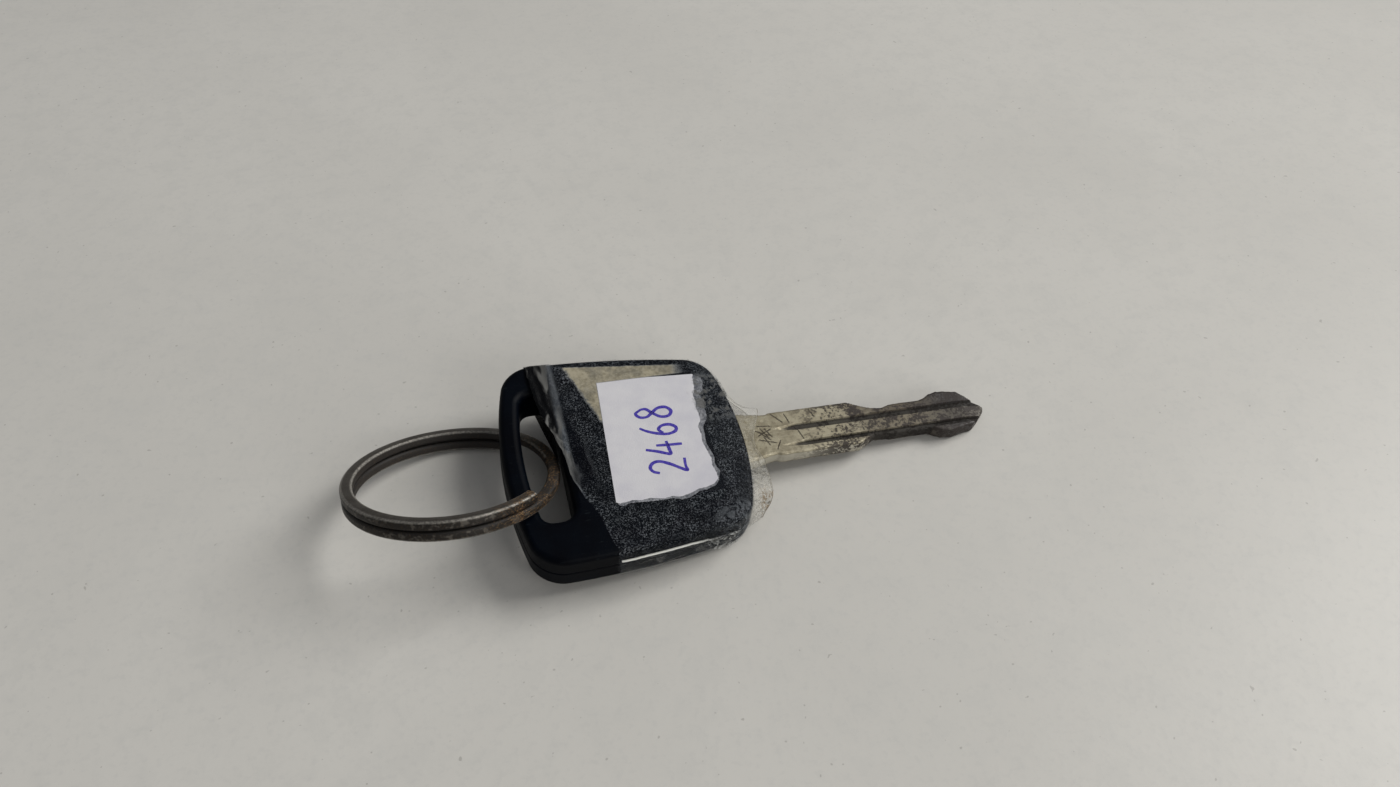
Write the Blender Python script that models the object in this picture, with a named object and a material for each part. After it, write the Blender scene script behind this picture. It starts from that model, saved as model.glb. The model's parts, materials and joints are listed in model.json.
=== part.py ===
"""Car key with a taped two-shell plastic head, lying on a table with its split ring.

Run it with blender --background --python part.py, or from Blender's text editor.
Units are metres. Every piece is modelled in the key's own frame, and one empty then lays the key down.

The key's own frame:
  +X  along the blade, from the head towards the tip
  +Y  across the head, towards its far side
  +Z  up through the head, with z = 0 on its underside
  origin at the middle of the head edge that the blade leaves from
"""

import math

import bmesh
import bpy
from mathutils import Matrix, Vector
from mathutils.geometry import interpolate_bezier

# Head: four bowed sides with rounded corners, in two shells that meet at the parting line
HEAD_LENGTH = 0.0374  # from the middle of the ring side to the middle of the neck side
HEAD_RING_HALF = 0.0187  # half the width where the ring side's corners would meet
HEAD_NECK_HALF = 0.0157  # half the width where the neck side's corners would meet
HEAD_THICKNESS = 0.0065
RING_SIDE_BOW = 0.0028
NECK_SIDE_BOW = 0.0026
LONG_SIDE_BOW = 0.0009
CORNER_RADIUS = 0.0058
RIM_RADIUS = 0.001
SEAM_RADIUS = 0.0002
PARTING_HEIGHT = 0.00325
PARTING_GAP = 0.0001

# Slot for the ring, and the bar between it and the ring side
BAR_WIDTH = 0.0033
SLOT_WIDTH = 0.0057
SLOT_NEAR_Y = -0.0113
SLOT_FAR_Y = 0.0127
SLOT_CORNER_RADIUS = 0.0026
SLOT_CORNER_SHARE = 0.42  # the most of the slot's end that one corner takes up
SLOT_RIM_RADIUS = 0.0013

# Blade, with its tang inside the head
BLADE_THICKNESS = 0.00235
BLADE_HALF = 0.00425
BLADE_LENGTH = 0.042  # from the head to the tip
BLADE_EDGE_BEVEL = 0.0002
NECK_HALF = 0.0049
NECK_WAIST_HALF = 0.00395
NECK_WAIST_X = 0.005
SHOULDER_X = 0.0056
TANG_LENGTH = 0.013
TANG_HOLE_RADIUS = 0.0015
TANG_HOLE_X = -0.008
TIP_OFFSET = -0.0004
TIP_BLUNTNESS = 0.0004
TIP_SLOPE_LENGTH = 0.0036
TIP_SLOPE_DEPTH = 0.0006
# Cuts in the two edges: distance from the head, and depth below the full width
FAR_CUTS = (
    (0.0192, 0.0002), (0.0212, 0.0011), (0.0228, 0.0018), (0.0245, 0.0021),
    (0.0266, 0.0016), (0.0317, 0.0016), (0.0336, 0.0006), (0.0350, 0.0003),
    (0.0368, 0.0006), (0.0384, 0.0009), (0.0395, 0.0018), (0.0406, 0.0031),
)
NEAR_CUTS = (
    (0.0193, 0.0003), (0.0206, 0.0009), (0.0219, 0.0016), (0.0249, 0.0013),
    (0.0316, 0.0013), (0.0332, 0.0002), (0.0350, 0.0000), (0.0371, 0.0004),
    (0.0389, 0.0007), (0.0403, 0.0018),
)

# Grooves milled along both faces: the lower face is the upper one turned over about the blade's length
GROOVE_DEPTH = 0.00055
GROOVE_FLOOR_SHARE = 0.7  # width of the groove's floor over the width of its mouth
GROOVE_RUN_IN = 0.004
GROOVES = (  # start, middle across the blade, width of the mouth
    (0.0054, 0.00068, 0.00132),
    (0.0062, -0.00265, 0.00104),
)

# Transponder sealed in the head
CHIP_SIZE = (0.006, 0.012, 0.003)
POCKET_CLEARANCE = 0.00015

# Split ring: two turns of flattened wire, passing once through the slot between them
RING_OUTER_RADIUS = 0.0161
WIRE_WIDTH = 0.00187
WIRE_HEIGHT = 0.0015
TURN_GAP = 0.0002
WIRE_CHAMFER = 0.0004
RING_SLOT_GAP = 0.0004  # between the wire's outer edge and the slot's neck side
RING_BAR_GAP = 0.0004  # between a turn and the bar's slot side, were the bar's rims square
RING_Y = 0.0006
UPPER_END = math.radians(-45)  # angles round the ring, 0 where it passes the slot
LOWER_END = math.radians(-308)
CROSSING = (math.radians(47), math.radians(-43))  # where the wire changes turns
RING_STEP = math.radians(7)

# Paper label and the clear tape over it
LABEL_THICKNESS = 0.0001
LABEL_OUTLINE = (
    (-0.0222, -0.0102), (-0.0186, -0.0103), (-0.0149, -0.0105), (-0.0110, -0.0102),
    (-0.0069, -0.0091), (-0.0060, -0.0070), (-0.0061, -0.0031), (-0.0062, 0.0009),
    (-0.0056, 0.0049), (-0.0059, 0.0079), (-0.0048, 0.0123), (-0.0207, 0.0135),
)
FILM_GAP = 0.00005
TAPE_THICKNESS = 0.0001
TAPE_FAR_SETBACK = 0.0059  # free edge from the head's ring side, where the head's far side would be
TAPE_NEAR_SETBACK = 0.0139
TAPE_NECK_EDGE_X = -0.0022
STRIP_THICKNESS = 0.00012
STRIP_SETBACK = 0.0143
STRIP_END_X = -0.0045
STRIP_HEIGHTS = (0.0010, 0.0049)

# Collar of the same tape, drawn together past the head round the blade's neck
COLLAR_THICKNESS = 0.00014
COLLAR_HEAD_GAP = 0.0003
COLLAR_BLADE_GAP = 0.0003
COLLAR_SEAM_HALF = 0.0002  # half the opening left between the two plies where they meet
COLLAR_SEAM_BLEND = 0.0016
COLLAR_EDGE = (  # mouth of the collar: across the blade, and distance from the head
    (-0.0151, -0.0018), (-0.0136, -0.0001), (-0.0121, 0.0013), (-0.0099, 0.0023),
    (-0.0070, 0.0026), (-0.0047, 0.0025), (0.0000, 0.0022), (0.0050, 0.0040),
    (0.0067, 0.0022), (0.0090, 0.0008), (0.0114, -0.0002), (0.0146, -0.0018),
)
COLLAR_SQUARENESS = 12  # the higher, the squarer the collar's folds at its near and far ends
COLLAR_STATIONS = 5
COLLAR_POINTS = 30

# Densities for finding the point that the key balances on, in kg per cubic metre
PLASTIC, NICKEL_SILVER, STEEL, CERAMIC, PAPER, FILM = 1100, 8600, 7850, 2400, 800, 1200

SIDE_STEP = 0.0035  # longest straight step along a bowed side
CORNER_STEPS = 6
RIM_STEPS = 4
CUTTER_MARGIN = 0.001
CUT_OVERRUN = 0.00002  # keeps a cutter's edge off the face that it cuts through

MID_HEIGHT = HEAD_THICKNESS / 2
HEAD_RING_X = RING_SIDE_BOW - HEAD_LENGTH
HEAD_NECK_X = -NECK_SIDE_BOW
BAR_X = BAR_WIDTH / 2 - HEAD_LENGTH
SLOT_RING_X = BAR_WIDTH - HEAD_LENGTH
SLOT_NECK_X = SLOT_RING_X + SLOT_WIDTH
CHIP_CENTRE = ((SLOT_NECK_X - TANG_LENGTH) / 2, 0, MID_HEIGHT)
RING_CENTRE = Vector((SLOT_NECK_X - RING_SLOT_GAP - RING_OUTER_RADIUS, RING_Y, MID_HEIGHT))
WIRE_RADIUS = RING_OUTER_RADIUS - WIRE_WIDTH / 2
TAPE_GAP = LABEL_THICKNESS + 2 * FILM_GAP
STRIP_GAP = TAPE_GAP + TAPE_THICKNESS + FILM_GAP


def ring_tilt():
    """How far the ring leans so that one side of it passes over the bar and the other side under."""
    reach = math.sqrt(WIRE_RADIUS ** 2 - (SLOT_RING_X - RING_CENTRE.x) ** 2)
    half_stack = WIRE_HEIGHT + TURN_GAP / 2
    tilt = 0.0
    for _ in range(20):
        tilt = math.asin((MID_HEIGHT + half_stack * math.cos(tilt) + RING_BAR_GAP) / reach)
    return tilt


def clear_scene():
    for obj in list(bpy.data.objects):
        bpy.data.objects.remove(obj, do_unlink=True)


def material(name, colour, roughness, metallic=0.0):
    made = bpy.data.materials.new(name)
    made.use_nodes = True
    shader = made.node_tree.nodes["Principled BSDF"]
    shader.inputs["Base Color"].default_value = (*colour, 1)
    shader.inputs["Roughness"].default_value = roughness
    shader.inputs["Metallic"].default_value = metallic
    return made


def add_object(name, mesh, parent, finish=None):
    obj = bpy.data.objects.new(name, mesh)
    bpy.context.scene.collection.objects.link(obj)
    obj.parent = parent
    if finish:
        mesh.materials.append(finish)
    return obj


def mesh_of_rings(name, rings, closed=False):
    """A mesh through rings of points, with capped ends, or joined end to start when closed."""
    shape = bmesh.new()
    loops = [[shape.verts.new(point) for point in ring] for ring in rings]
    pairs = list(zip(loops, loops[1:]))
    if closed:
        pairs.append((loops[-1], loops[0]))
    for lower, upper in pairs:
        for k, corner in enumerate(lower):
            after = (k + 1) % len(lower)
            shape.faces.new((corner, lower[after], upper[after], upper[k]))
    if not closed:
        shape.faces.new(list(reversed(loops[0])))
        shape.faces.new(loops[-1])
    if shape.calc_volume(signed=True) < 0:
        bmesh.ops.reverse_faces(shape, faces=shape.faces)
    mesh = bpy.data.meshes.new(name)
    shape.to_mesh(mesh)
    shape.free()
    return mesh


def shade_smooth(mesh, sharp_degrees=35):
    mesh.shade_smooth()
    mesh.set_sharp_from_angle(angle=math.radians(sharp_degrees))


def cutter(name, rings, parent):
    obj = add_object(name, mesh_of_rings(name, rings), parent)
    obj.hide_render = True
    obj.display_type = "WIRE"
    return obj


def boolean(obj, other, operation="DIFFERENCE"):
    modifier = obj.modifiers.new(f"{operation.lower()} {other.name}", "BOOLEAN")
    modifier.operation = operation
    modifier.object = other


def side_point(start, end, bow, share):
    """A point along a side of a counter-clockwise outline that bows outward in its middle."""
    along = end - start
    outward = Vector((along.y, -along.x)).normalized()
    return start + along * share + outward * bow * 4 * share * (1 - share)


def side_heading(start, end, bow, share):
    step = 1e-4
    before = side_point(start, end, bow, share - step)
    return (side_point(start, end, bow, share + step) - before).normalized()


def rounded_outline(corners, bows, radius):
    """A counter-clockwise outline of bowed sides whose corners are rounded to a radius."""
    ends = zip(corners, corners[1:] + corners[:1], bows)
    sides = [(Vector(start), Vector(end), bow) for start, end, bow in ends]
    joins = zip(sides, sides[1:] + sides[:1])
    turns = [side_heading(*side, 1).angle(side_heading(*after, 0)) for side, after in joins]
    runs = [radius * math.tan(turn / 2) for turn in turns]
    outline = []
    for k, side in enumerate(sides):
        after = sides[(k + 1) % len(sides)]
        length = (side[1] - side[0]).length
        first, last = runs[k - 1] / length, 1 - runs[k] / length
        steps = math.ceil((last - first) * length / SIDE_STEP)
        shares = [first + (last - first) * step / steps for step in range(steps + 1)]
        outline += [side_point(*side, share) for share in shares]
        leave = outline[-1]
        arrive_share = runs[k] / (after[1] - after[0]).length
        arrive = side_point(*after, arrive_share)
        reach = radius * 4 / 3 * math.tan(turns[k] / 4)
        curve = interpolate_bezier(
            leave.to_3d(),
            (leave + reach * side_heading(*side, last)).to_3d(),
            (arrive - reach * side_heading(*after, arrive_share)).to_3d(),
            arrive.to_3d(),
            CORNER_STEPS + 1,
        )
        outline += [point.to_2d() for point in curve[1:-1]]
    return outline


def grown(outline, distance):
    """A closed outline moved outward by a distance, square to itself."""
    moved = []
    for k, point in enumerate(outline):
        before = (point - outline[k - 1]).normalized()
        after = (outline[(k + 1) % len(outline)] - point).normalized()
        outward = Vector((before.y + after.y, -before.x - after.x)).normalized()
        square = Vector((before.y, -before.x))
        moved.append(point + outward * distance / outward.dot(square))
    return moved


def at_height(outline, height):
    return [Vector((point.x, point.y, height)) for point in outline]


def rim_arc(radius):
    """A rounded rim as steps of height from the face and inset from the side."""
    angles = [math.pi / 2 * step / RIM_STEPS for step in range(RIM_STEPS + 1)]
    return [(radius * (1 - math.cos(angle)), radius * (1 - math.sin(angle))) for angle in angles]


def block_rings(outline, bottom, top, bottom_radius, top_radius):
    """Rings of an upright block whose lower and upper rims are rounded over."""
    lower = [(bottom + rise, inset) for rise, inset in rim_arc(bottom_radius)]
    upper = [(top - rise, inset) for rise, inset in rim_arc(top_radius)]
    return [at_height(grown(outline, -inset), height) for height, inset in lower + upper[::-1]]


def through_rings(outline, rim_radius):
    """Rings of a cutter right through the head that rounds over both rims of its hole."""
    arc = rim_arc(rim_radius)
    mouth = rim_radius + CUT_OVERRUN
    lower = [(-CUTTER_MARGIN, mouth), (-CUT_OVERRUN, mouth)] + arc[1:]
    upper = [(HEAD_THICKNESS - height, flare) for height, flare in lower[::-1]]
    return [at_height(grown(outline, flare), height) for height, flare in lower + upper]


def box_rings(low, high):
    corners = [(low[0], low[1]), (high[0], low[1]), (high[0], high[1]), (low[0], high[1])]
    return [at_height([Vector(corner) for corner in corners], height) for height in (low[2], high[2])]


def centred_box_rings(centre, half):
    return box_rings([c - h for c, h in zip(centre, half)], [c + h for c, h in zip(centre, half)])


def circle_rings(centre, radius, low, high, steps=32):
    angles = [2 * math.pi * step / steps for step in range(steps)]
    circle = [centre + radius * Vector((math.cos(a), math.sin(a))) for a in angles]
    return [at_height(circle, low), at_height(circle, high)]


def head_outline():
    corners = [
        (HEAD_RING_X, -HEAD_RING_HALF), (HEAD_NECK_X, -HEAD_NECK_HALF),
        (HEAD_NECK_X, HEAD_NECK_HALF), (HEAD_RING_X, HEAD_RING_HALF),
    ]
    bows = [LONG_SIDE_BOW, NECK_SIDE_BOW, LONG_SIDE_BOW, RING_SIDE_BOW]
    return rounded_outline(corners, bows, CORNER_RADIUS)


def slot_outline():
    """The slot's ring side runs parallel to the head's own bowed side."""
    corner_rise = RING_SIDE_BOW * (SLOT_FAR_Y - SLOT_NEAR_Y) ** 2 / (2 * HEAD_RING_HALF) ** 2
    corner_x = SLOT_RING_X + corner_rise
    radius = min(SLOT_CORNER_RADIUS, SLOT_CORNER_SHARE * (SLOT_NECK_X - corner_x))
    corners = [
        (corner_x, SLOT_NEAR_Y), (SLOT_NECK_X, SLOT_NEAR_Y),
        (SLOT_NECK_X, SLOT_FAR_Y), (corner_x, SLOT_FAR_Y),
    ]
    return rounded_outline(corners, [0, 0, 0, corner_rise], radius)


def offset_head_rings(gap):
    """Rings of the whole head grown by a gap on every side."""
    return block_rings(
        grown(head_outline(), gap), -gap, HEAD_THICKNESS + gap, RIM_RADIUS + gap, RIM_RADIUS + gap
    )


def blade_heights(clearance=0.0):
    half = BLADE_THICKNESS / 2 + clearance
    return MID_HEIGHT - half, MID_HEIGHT + half


def head_cutters(pose):
    """The slot and the pockets for the tang and the transponder, which both shells are cut with."""
    low, high = blade_heights(POCKET_CLEARANCE)
    half = NECK_HALF + POCKET_CLEARANCE
    tang = box_rings((-TANG_LENGTH - POCKET_CLEARANCE, -half, low), (CUTTER_MARGIN, half, high))
    chip = centred_box_rings(CHIP_CENTRE, [size / 2 + POCKET_CLEARANCE for size in CHIP_SIZE])
    return [
        cutter("slot_cutter", through_rings(slot_outline(), SLOT_RIM_RADIUS), pose),
        cutter("tang_cutter", tang, pose),
        cutter("chip_cutter", chip, pose),
    ]


def make_head(pose, cutters):
    plastic = material("black_plastic", (0.006, 0.009, 0.011), 0.42)
    shells = (
        ("head_lower_shell", 0, PARTING_HEIGHT - PARTING_GAP / 2, RIM_RADIUS, SEAM_RADIUS),
        ("head_upper_shell", PARTING_HEIGHT + PARTING_GAP / 2, HEAD_THICKNESS, SEAM_RADIUS, RIM_RADIUS),
    )
    made = []
    for name, bottom, top, bottom_radius, top_radius in shells:
        mesh = mesh_of_rings(name, block_rings(head_outline(), bottom, top, bottom_radius, top_radius))
        shade_smooth(mesh)
        shell = add_object(name, mesh, pose, plastic)
        for tool in cutters:
            boolean(shell, tool)
        made.append(shell)
    low, high = blade_heights()
    boss_radius = TANG_HOLE_RADIUS - POCKET_CLEARANCE
    boss_rings = circle_rings(Vector((TANG_HOLE_X, 0)), boss_radius, low - CUTTER_MARGIN, high)
    boolean(made[0], cutter("locating_boss", boss_rings, pose), "UNION")
    return made


def blade_outline():
    """The blade and its tang seen from above, counter-clockwise from the tang's near corner."""
    neck = [(-TANG_LENGTH, NECK_HALF), (0, NECK_HALF), (NECK_WAIST_X, NECK_WAIST_HALF)]
    neck.append((SHOULDER_X, BLADE_HALF))
    near = [(x, -half) for x, half in neck] + [(x, depth - BLADE_HALF) for x, depth in NEAR_CUTS]
    far = neck + [(x, BLADE_HALF - depth) for x, depth in FAR_CUTS]
    blunt = [(-TIP_BLUNTNESS, -2 * TIP_BLUNTNESS), (0, 0), (-TIP_BLUNTNESS, 2 * TIP_BLUNTNESS)]
    tip = [(BLADE_LENGTH + x, TIP_OFFSET + y) for x, y in blunt]
    return [Vector(point) for point in near + tip + far[::-1]]


def groove_rings(start, across, width, side):
    """Rings of a groove's cutter, which runs in to its full depth and out past the tip."""
    surface = MID_HEIGHT + side * BLADE_THICKNESS / 2
    rings = []
    for x, share in ((start, 0.02), (start + GROOVE_RUN_IN, 1), (BLADE_LENGTH + CUTTER_MARGIN, 1)):
        half = width / 2 * share
        floor = surface - side * GROOVE_DEPTH * share
        mouth = surface + side * CUTTER_MARGIN
        spread = half * (1 + (1 - GROOVE_FLOOR_SHARE) * CUTTER_MARGIN / GROOVE_DEPTH)
        floor_half = half * GROOVE_FLOOR_SHARE
        section = [(-floor_half, floor), (floor_half, floor), (spread, mouth), (-spread, mouth)]
        rings.append([Vector((x, side * across + y, z)) for y, z in section])
    return rings


def tip_slope_rings(side):
    """Rings of a wedge that thins one face of the blade towards the tip."""
    surface = MID_HEIGHT + side * BLADE_THICKNESS / 2
    start = BLADE_LENGTH - TIP_SLOPE_LENGTH
    end = BLADE_LENGTH + CUTTER_MARGIN
    fall = TIP_SLOPE_DEPTH * (end - start) / TIP_SLOPE_LENGTH
    clear = surface + side * CUTTER_MARGIN
    section = [(start, surface), (end, surface - side * fall), (end, clear), (start, clear)]
    return [[Vector((x, y, z)) for x, z in section] for y in (-2 * BLADE_HALF, 2 * BLADE_HALF)]


def make_blade(pose):
    mesh = mesh_of_rings("key_blade", [at_height(blade_outline(), height) for height in blade_heights()])
    blade = add_object("key_blade", mesh, pose, material("nickel_silver", (0.48, 0.43, 0.33), 0.35, 1.0))
    bevel = blade.modifiers.new("edge bevel", "BEVEL")
    bevel.width = BLADE_EDGE_BEVEL
    bevel.segments = 2
    bevel.limit_method = "ANGLE"
    bevel.angle_limit = math.radians(60)
    low, high = blade_heights(CUTTER_MARGIN)
    hole = circle_rings(Vector((TANG_HOLE_X, 0)), TANG_HOLE_RADIUS, low, high)
    boolean(blade, cutter("tang_hole_cutter", hole, pose))
    for side, face in ((1, "upper"), (-1, "lower")):
        boolean(blade, cutter(f"tip_{face}_cutter", tip_slope_rings(side), pose))
        for number, (start, across, width) in enumerate(GROOVES, 1):
            rings = groove_rings(start, across, width, side)
            boolean(blade, cutter(f"groove_{face}_{number}_cutter", rings, pose))
    return blade


def make_chip(pose):
    mesh = mesh_of_rings("transponder_chip", centred_box_rings(CHIP_CENTRE, [size / 2 for size in CHIP_SIZE]))
    return add_object("transponder_chip", mesh, pose, material("chip_ceramic", (0.02, 0.02, 0.02), 0.6))


def wire_section():
    """The flattened wire with chamfered corners: outward from the ring's centre, and along its axis."""
    wide, high, cut = WIRE_WIDTH / 2, WIRE_HEIGHT / 2, WIRE_CHAMFER
    return [
        (wide, high - cut), (wide - cut, high), (cut - wide, high), (-wide, high - cut),
        (-wide, cut - high), (cut - wide, -high), (wide - cut, -high), (wide, cut - high),
    ]


def turn_height(angle):
    """The wire's height along the ring's axis: the upper turn, a smooth crossing, then the lower turn."""
    share = min(max((CROSSING[0] - angle) / (CROSSING[0] - CROSSING[1]), 0), 1)
    share = share * share * (3 - 2 * share)
    return (WIRE_HEIGHT + TURN_GAP) * (0.5 - share)


def make_ring(pose):
    """Two turns of wire. The ring's origin is on the bar that it swings about."""
    start = UPPER_END + 2 * math.pi
    total = start - LOWER_END
    steps = round(total / RING_STEP)
    tilt = ring_tilt()
    ring_axis = Vector((0, math.sin(tilt), math.cos(tilt)))
    across = Vector((0, math.cos(tilt), -math.sin(tilt)))
    axis_point = Vector((BAR_X, 0, MID_HEIGHT))
    rings = []
    for step in range(steps + 1):
        angle = start - total * step / steps
        outward = math.cos(angle) * Vector((1, 0, 0)) + math.sin(angle) * across
        centre = RING_CENTRE + WIRE_RADIUS * outward + turn_height(angle) * ring_axis - axis_point
        rings.append([centre + out * outward + up * ring_axis for out, up in wire_section()])
    mesh = mesh_of_rings("split_ring", rings)
    shade_smooth(mesh, 50)
    ring = add_object("split_ring", mesh, pose, material("ring_steel", (0.18, 0.16, 0.14), 0.35, 1.0))
    ring.location = axis_point
    return ring


def make_label(pose):
    outline = [Vector(point) for point in LABEL_OUTLINE]
    low = HEAD_THICKNESS + FILM_GAP
    mesh = mesh_of_rings("paper_label", [at_height(outline, low), at_height(outline, low + LABEL_THICKNESS)])
    return add_object("paper_label", mesh, pose, material("white_paper", (0.55, 0.54, 0.58), 0.8))


def film_shell(name, gap, thickness, keep_rings, pose, finish):
    """A film that follows the head at a gap, kept only inside a block."""
    mesh = mesh_of_rings(name, offset_head_rings(gap + thickness))
    shade_smooth(mesh)
    film = add_object(name, mesh, pose, finish)
    boolean(film, cutter(f"{name}_inside", offset_head_rings(gap), pose))
    boolean(film, cutter(f"{name}_extent", keep_rings, pose), "INTERSECT")
    return film


def make_tape_wrap(pose, finish):
    """The tape wound round the head: it stops at a slanting free edge and just short of the neck side."""
    slant = (TAPE_NEAR_SETBACK - TAPE_FAR_SETBACK) / 2
    middle = (TAPE_NEAR_SETBACK + TAPE_FAR_SETBACK) / 2 - HEAD_LENGTH
    outline = [
        Vector((middle + 2 * slant, -2 * HEAD_RING_HALF)), Vector((TAPE_NECK_EDGE_X, -2 * HEAD_RING_HALF)),
        Vector((TAPE_NECK_EDGE_X, 2 * HEAD_RING_HALF)), Vector((middle - 2 * slant, 2 * HEAD_RING_HALF)),
    ]
    margin = 2 * CUTTER_MARGIN
    keep = [at_height(outline, -margin), at_height(outline, HEAD_THICKNESS + margin)]
    return film_shell("tape_wrap", TAPE_GAP, TAPE_THICKNESS, keep, pose, finish)


def make_side_strip(pose, finish):
    """The strip of tape along the near side wall, outside the wrap."""
    low, high = STRIP_HEIGHTS
    keep = box_rings((STRIP_SETBACK - HEAD_LENGTH, -2 * HEAD_RING_HALF, low), (STRIP_END_X, 0, high))
    return film_shell("tape_side_strip", STRIP_GAP, STRIP_THICKNESS, keep, pose, finish)


def smooth_step(share):
    share = min(max(share, 0), 1)
    return share * share * (3 - 2 * share)


def along_table(table, value):
    """The second column of a table of pairs, read at a value of the first."""
    for (low, first), (high, second) in zip(table, table[1:]):
        if value <= high:
            return first + (second - first) * (value - low) / (high - low)
    return table[-1][1]


def head_edge_x(y):
    """Where the bowed neck side of the head is, at a place across it."""
    return -NECK_SIDE_BOW * (y / HEAD_NECK_HALF) ** 2


def collar_half_height(y, share):
    """Half the height inside the collar, which falls from the head to the blade and the seams beside it."""
    blade = BLADE_THICKNESS / 2 + COLLAR_BLADE_GAP
    beside = smooth_step((abs(y) - NECK_HALF - COLLAR_BLADE_GAP) / COLLAR_SEAM_BLEND)
    mouth = blade + (COLLAR_SEAM_HALF - blade) * beside
    head = MID_HEIGHT - RIM_RADIUS
    return head + (mouth - head) * share


def collar_rings(y_low, y_high, outside):
    """Rings round the collar from the head to its mouth, grown outward by the film when outside."""
    rings = []
    for station in range(COLLAR_STATIONS):
        share = station / (COLLAR_STATIONS - 1)
        ring = []
        for point in range(COLLAR_POINTS):
            angle = 2 * math.pi * (point + 0.5) / COLLAR_POINTS
            half_width = (y_high - y_low) / 2 - (0 if outside else COLLAR_THICKNESS)
            y = (y_low + y_high) / 2 + half_width * math.cos(angle)
            start = head_edge_x(y) + COLLAR_HEAD_GAP
            mouth = max(along_table(COLLAR_EDGE, y), start + COLLAR_HEAD_GAP)
            x = start + (mouth - start) * share
            half = collar_half_height(y, share) + (COLLAR_THICKNESS if outside else 0)
            flank = math.sqrt(1 - abs(math.cos(angle)) ** COLLAR_SQUARENESS)
            ring.append(Vector((x, y, MID_HEIGHT + math.copysign(half * flank, math.sin(angle)))))
        rings.append(ring)
    return rings


def make_collar(pose, finish):
    y_low, y_high = COLLAR_EDGE[0][0], COLLAR_EDGE[-1][0]
    outer = collar_rings(y_low, y_high, True)
    inner = collar_rings(y_low, y_high, False)
    mesh = mesh_of_rings("tape_neck_collar", outer + inner[::-1], closed=True)
    return add_object("tape_neck_collar", mesh, pose, finish)


def world_mesh(obj, graph):
    """The object's evaluated mesh as a bmesh in world space."""
    shape = bmesh.new()
    evaluated = obj.evaluated_get(graph)
    shape.from_mesh(evaluated.to_mesh())
    shape.transform(evaluated.matrix_world)
    evaluated.to_mesh_clear()
    return shape


def measure(densities):
    """All the pieces' points, and the point that the whole key balances on."""
    bpy.context.view_layer.update()
    graph = bpy.context.evaluated_depsgraph_get()
    points, mass, moment = [], 0, Vector()
    for obj, density in densities.items():
        shape = world_mesh(obj, graph)
        bmesh.ops.triangulate(shape, faces=shape.faces)
        for face in shape.faces:
            a, b, c = (vert.co for vert in face.verts)
            share = density * a.dot(b.cross(c)) / 6
            mass += share
            moment += share * (a + b + c) / 4
        points += [vert.co.copy() for vert in shape.verts]
        shape.free()
    return points, moment / mass


def rests_on(face, balance):
    """Whether the balance point is square above this face of the hull."""
    foot = balance - face.normal * (balance - face.verts[0].co).dot(face.normal)
    corners = [vert.co for vert in face.verts]
    edges = zip(corners, corners[1:] + corners[:1])
    return all((b - a).cross(foot - a).dot(face.normal) >= 0 for a, b in edges)


def resting_matrix(points, balance):
    """Turns the key onto the three points that it rests on, over the middle of its footprint."""
    hull = bmesh.new()
    for point in points:
        hull.verts.new(point)
    bmesh.ops.convex_hull(hull, input=hull.verts)
    hull.normal_update()
    underside = min((face for face in hull.faces if rests_on(face, balance)), key=lambda face: face.normal.z)
    up = -underside.normal
    hull.free()
    along = (Vector((1, 0, 0)) - up * up.x).normalized()
    turn = Matrix((along, up.cross(along), up)).to_4x4()
    placed = [turn @ point for point in points]
    low = [min(point[k] for point in placed) for k in range(3)]
    high = [max(point[k] for point in placed) for k in range(3)]
    drop = Vector((-(low[0] + high[0]) / 2, -(low[1] + high[1]) / 2, -low[2]))
    return Matrix.Translation(drop) @ turn


def main():
    clear_scene()
    pose = add_object("lying_pose", None, None)
    cutters = head_cutters(pose)
    lower, upper = make_head(pose, cutters)
    film = material("clear_tape", (0.45, 0.45, 0.43), 0.25)
    densities = {
        lower: PLASTIC,
        upper: PLASTIC,
        make_blade(pose): NICKEL_SILVER,
        make_chip(pose): CERAMIC,
        make_ring(pose): STEEL,
        make_label(pose): PAPER,
        make_tape_wrap(pose, film): FILM,
        make_side_strip(pose, film): FILM,
        make_collar(pose, film): FILM,
    }
    pose.matrix_world = resting_matrix(*measure(densities))


main()
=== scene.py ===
import json
import math

import bmesh
import bpy
from mathutils import Matrix, Vector, noise
from mathutils.geometry import interpolate_bezier


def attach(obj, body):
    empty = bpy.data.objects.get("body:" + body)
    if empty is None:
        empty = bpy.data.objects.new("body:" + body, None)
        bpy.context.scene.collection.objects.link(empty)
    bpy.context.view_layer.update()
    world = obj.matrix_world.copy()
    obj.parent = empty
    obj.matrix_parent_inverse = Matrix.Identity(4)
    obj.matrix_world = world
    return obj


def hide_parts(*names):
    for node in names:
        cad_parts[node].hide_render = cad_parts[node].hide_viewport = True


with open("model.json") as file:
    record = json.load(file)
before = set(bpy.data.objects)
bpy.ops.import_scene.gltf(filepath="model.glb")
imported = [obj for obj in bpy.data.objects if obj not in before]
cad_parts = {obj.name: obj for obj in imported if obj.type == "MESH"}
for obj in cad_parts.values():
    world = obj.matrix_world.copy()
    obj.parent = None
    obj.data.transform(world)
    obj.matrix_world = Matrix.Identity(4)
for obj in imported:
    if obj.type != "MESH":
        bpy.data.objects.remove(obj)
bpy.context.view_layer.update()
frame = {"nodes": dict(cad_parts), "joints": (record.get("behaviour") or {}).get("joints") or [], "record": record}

# A worn car key: taped black head with a paper label, cut blade, and split ring, on a pale table.
# Every piece is modelled in the key's own frame and in millimetres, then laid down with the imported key:
# +X runs along the blade to its tip, +Y across the head to its far side, +Z up, z = 0 is the head's
# underside, and the origin is where the middle of the head's edge meets the blade.

MM = 0.001
SCREEN_GAMMA = 2.2

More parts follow.
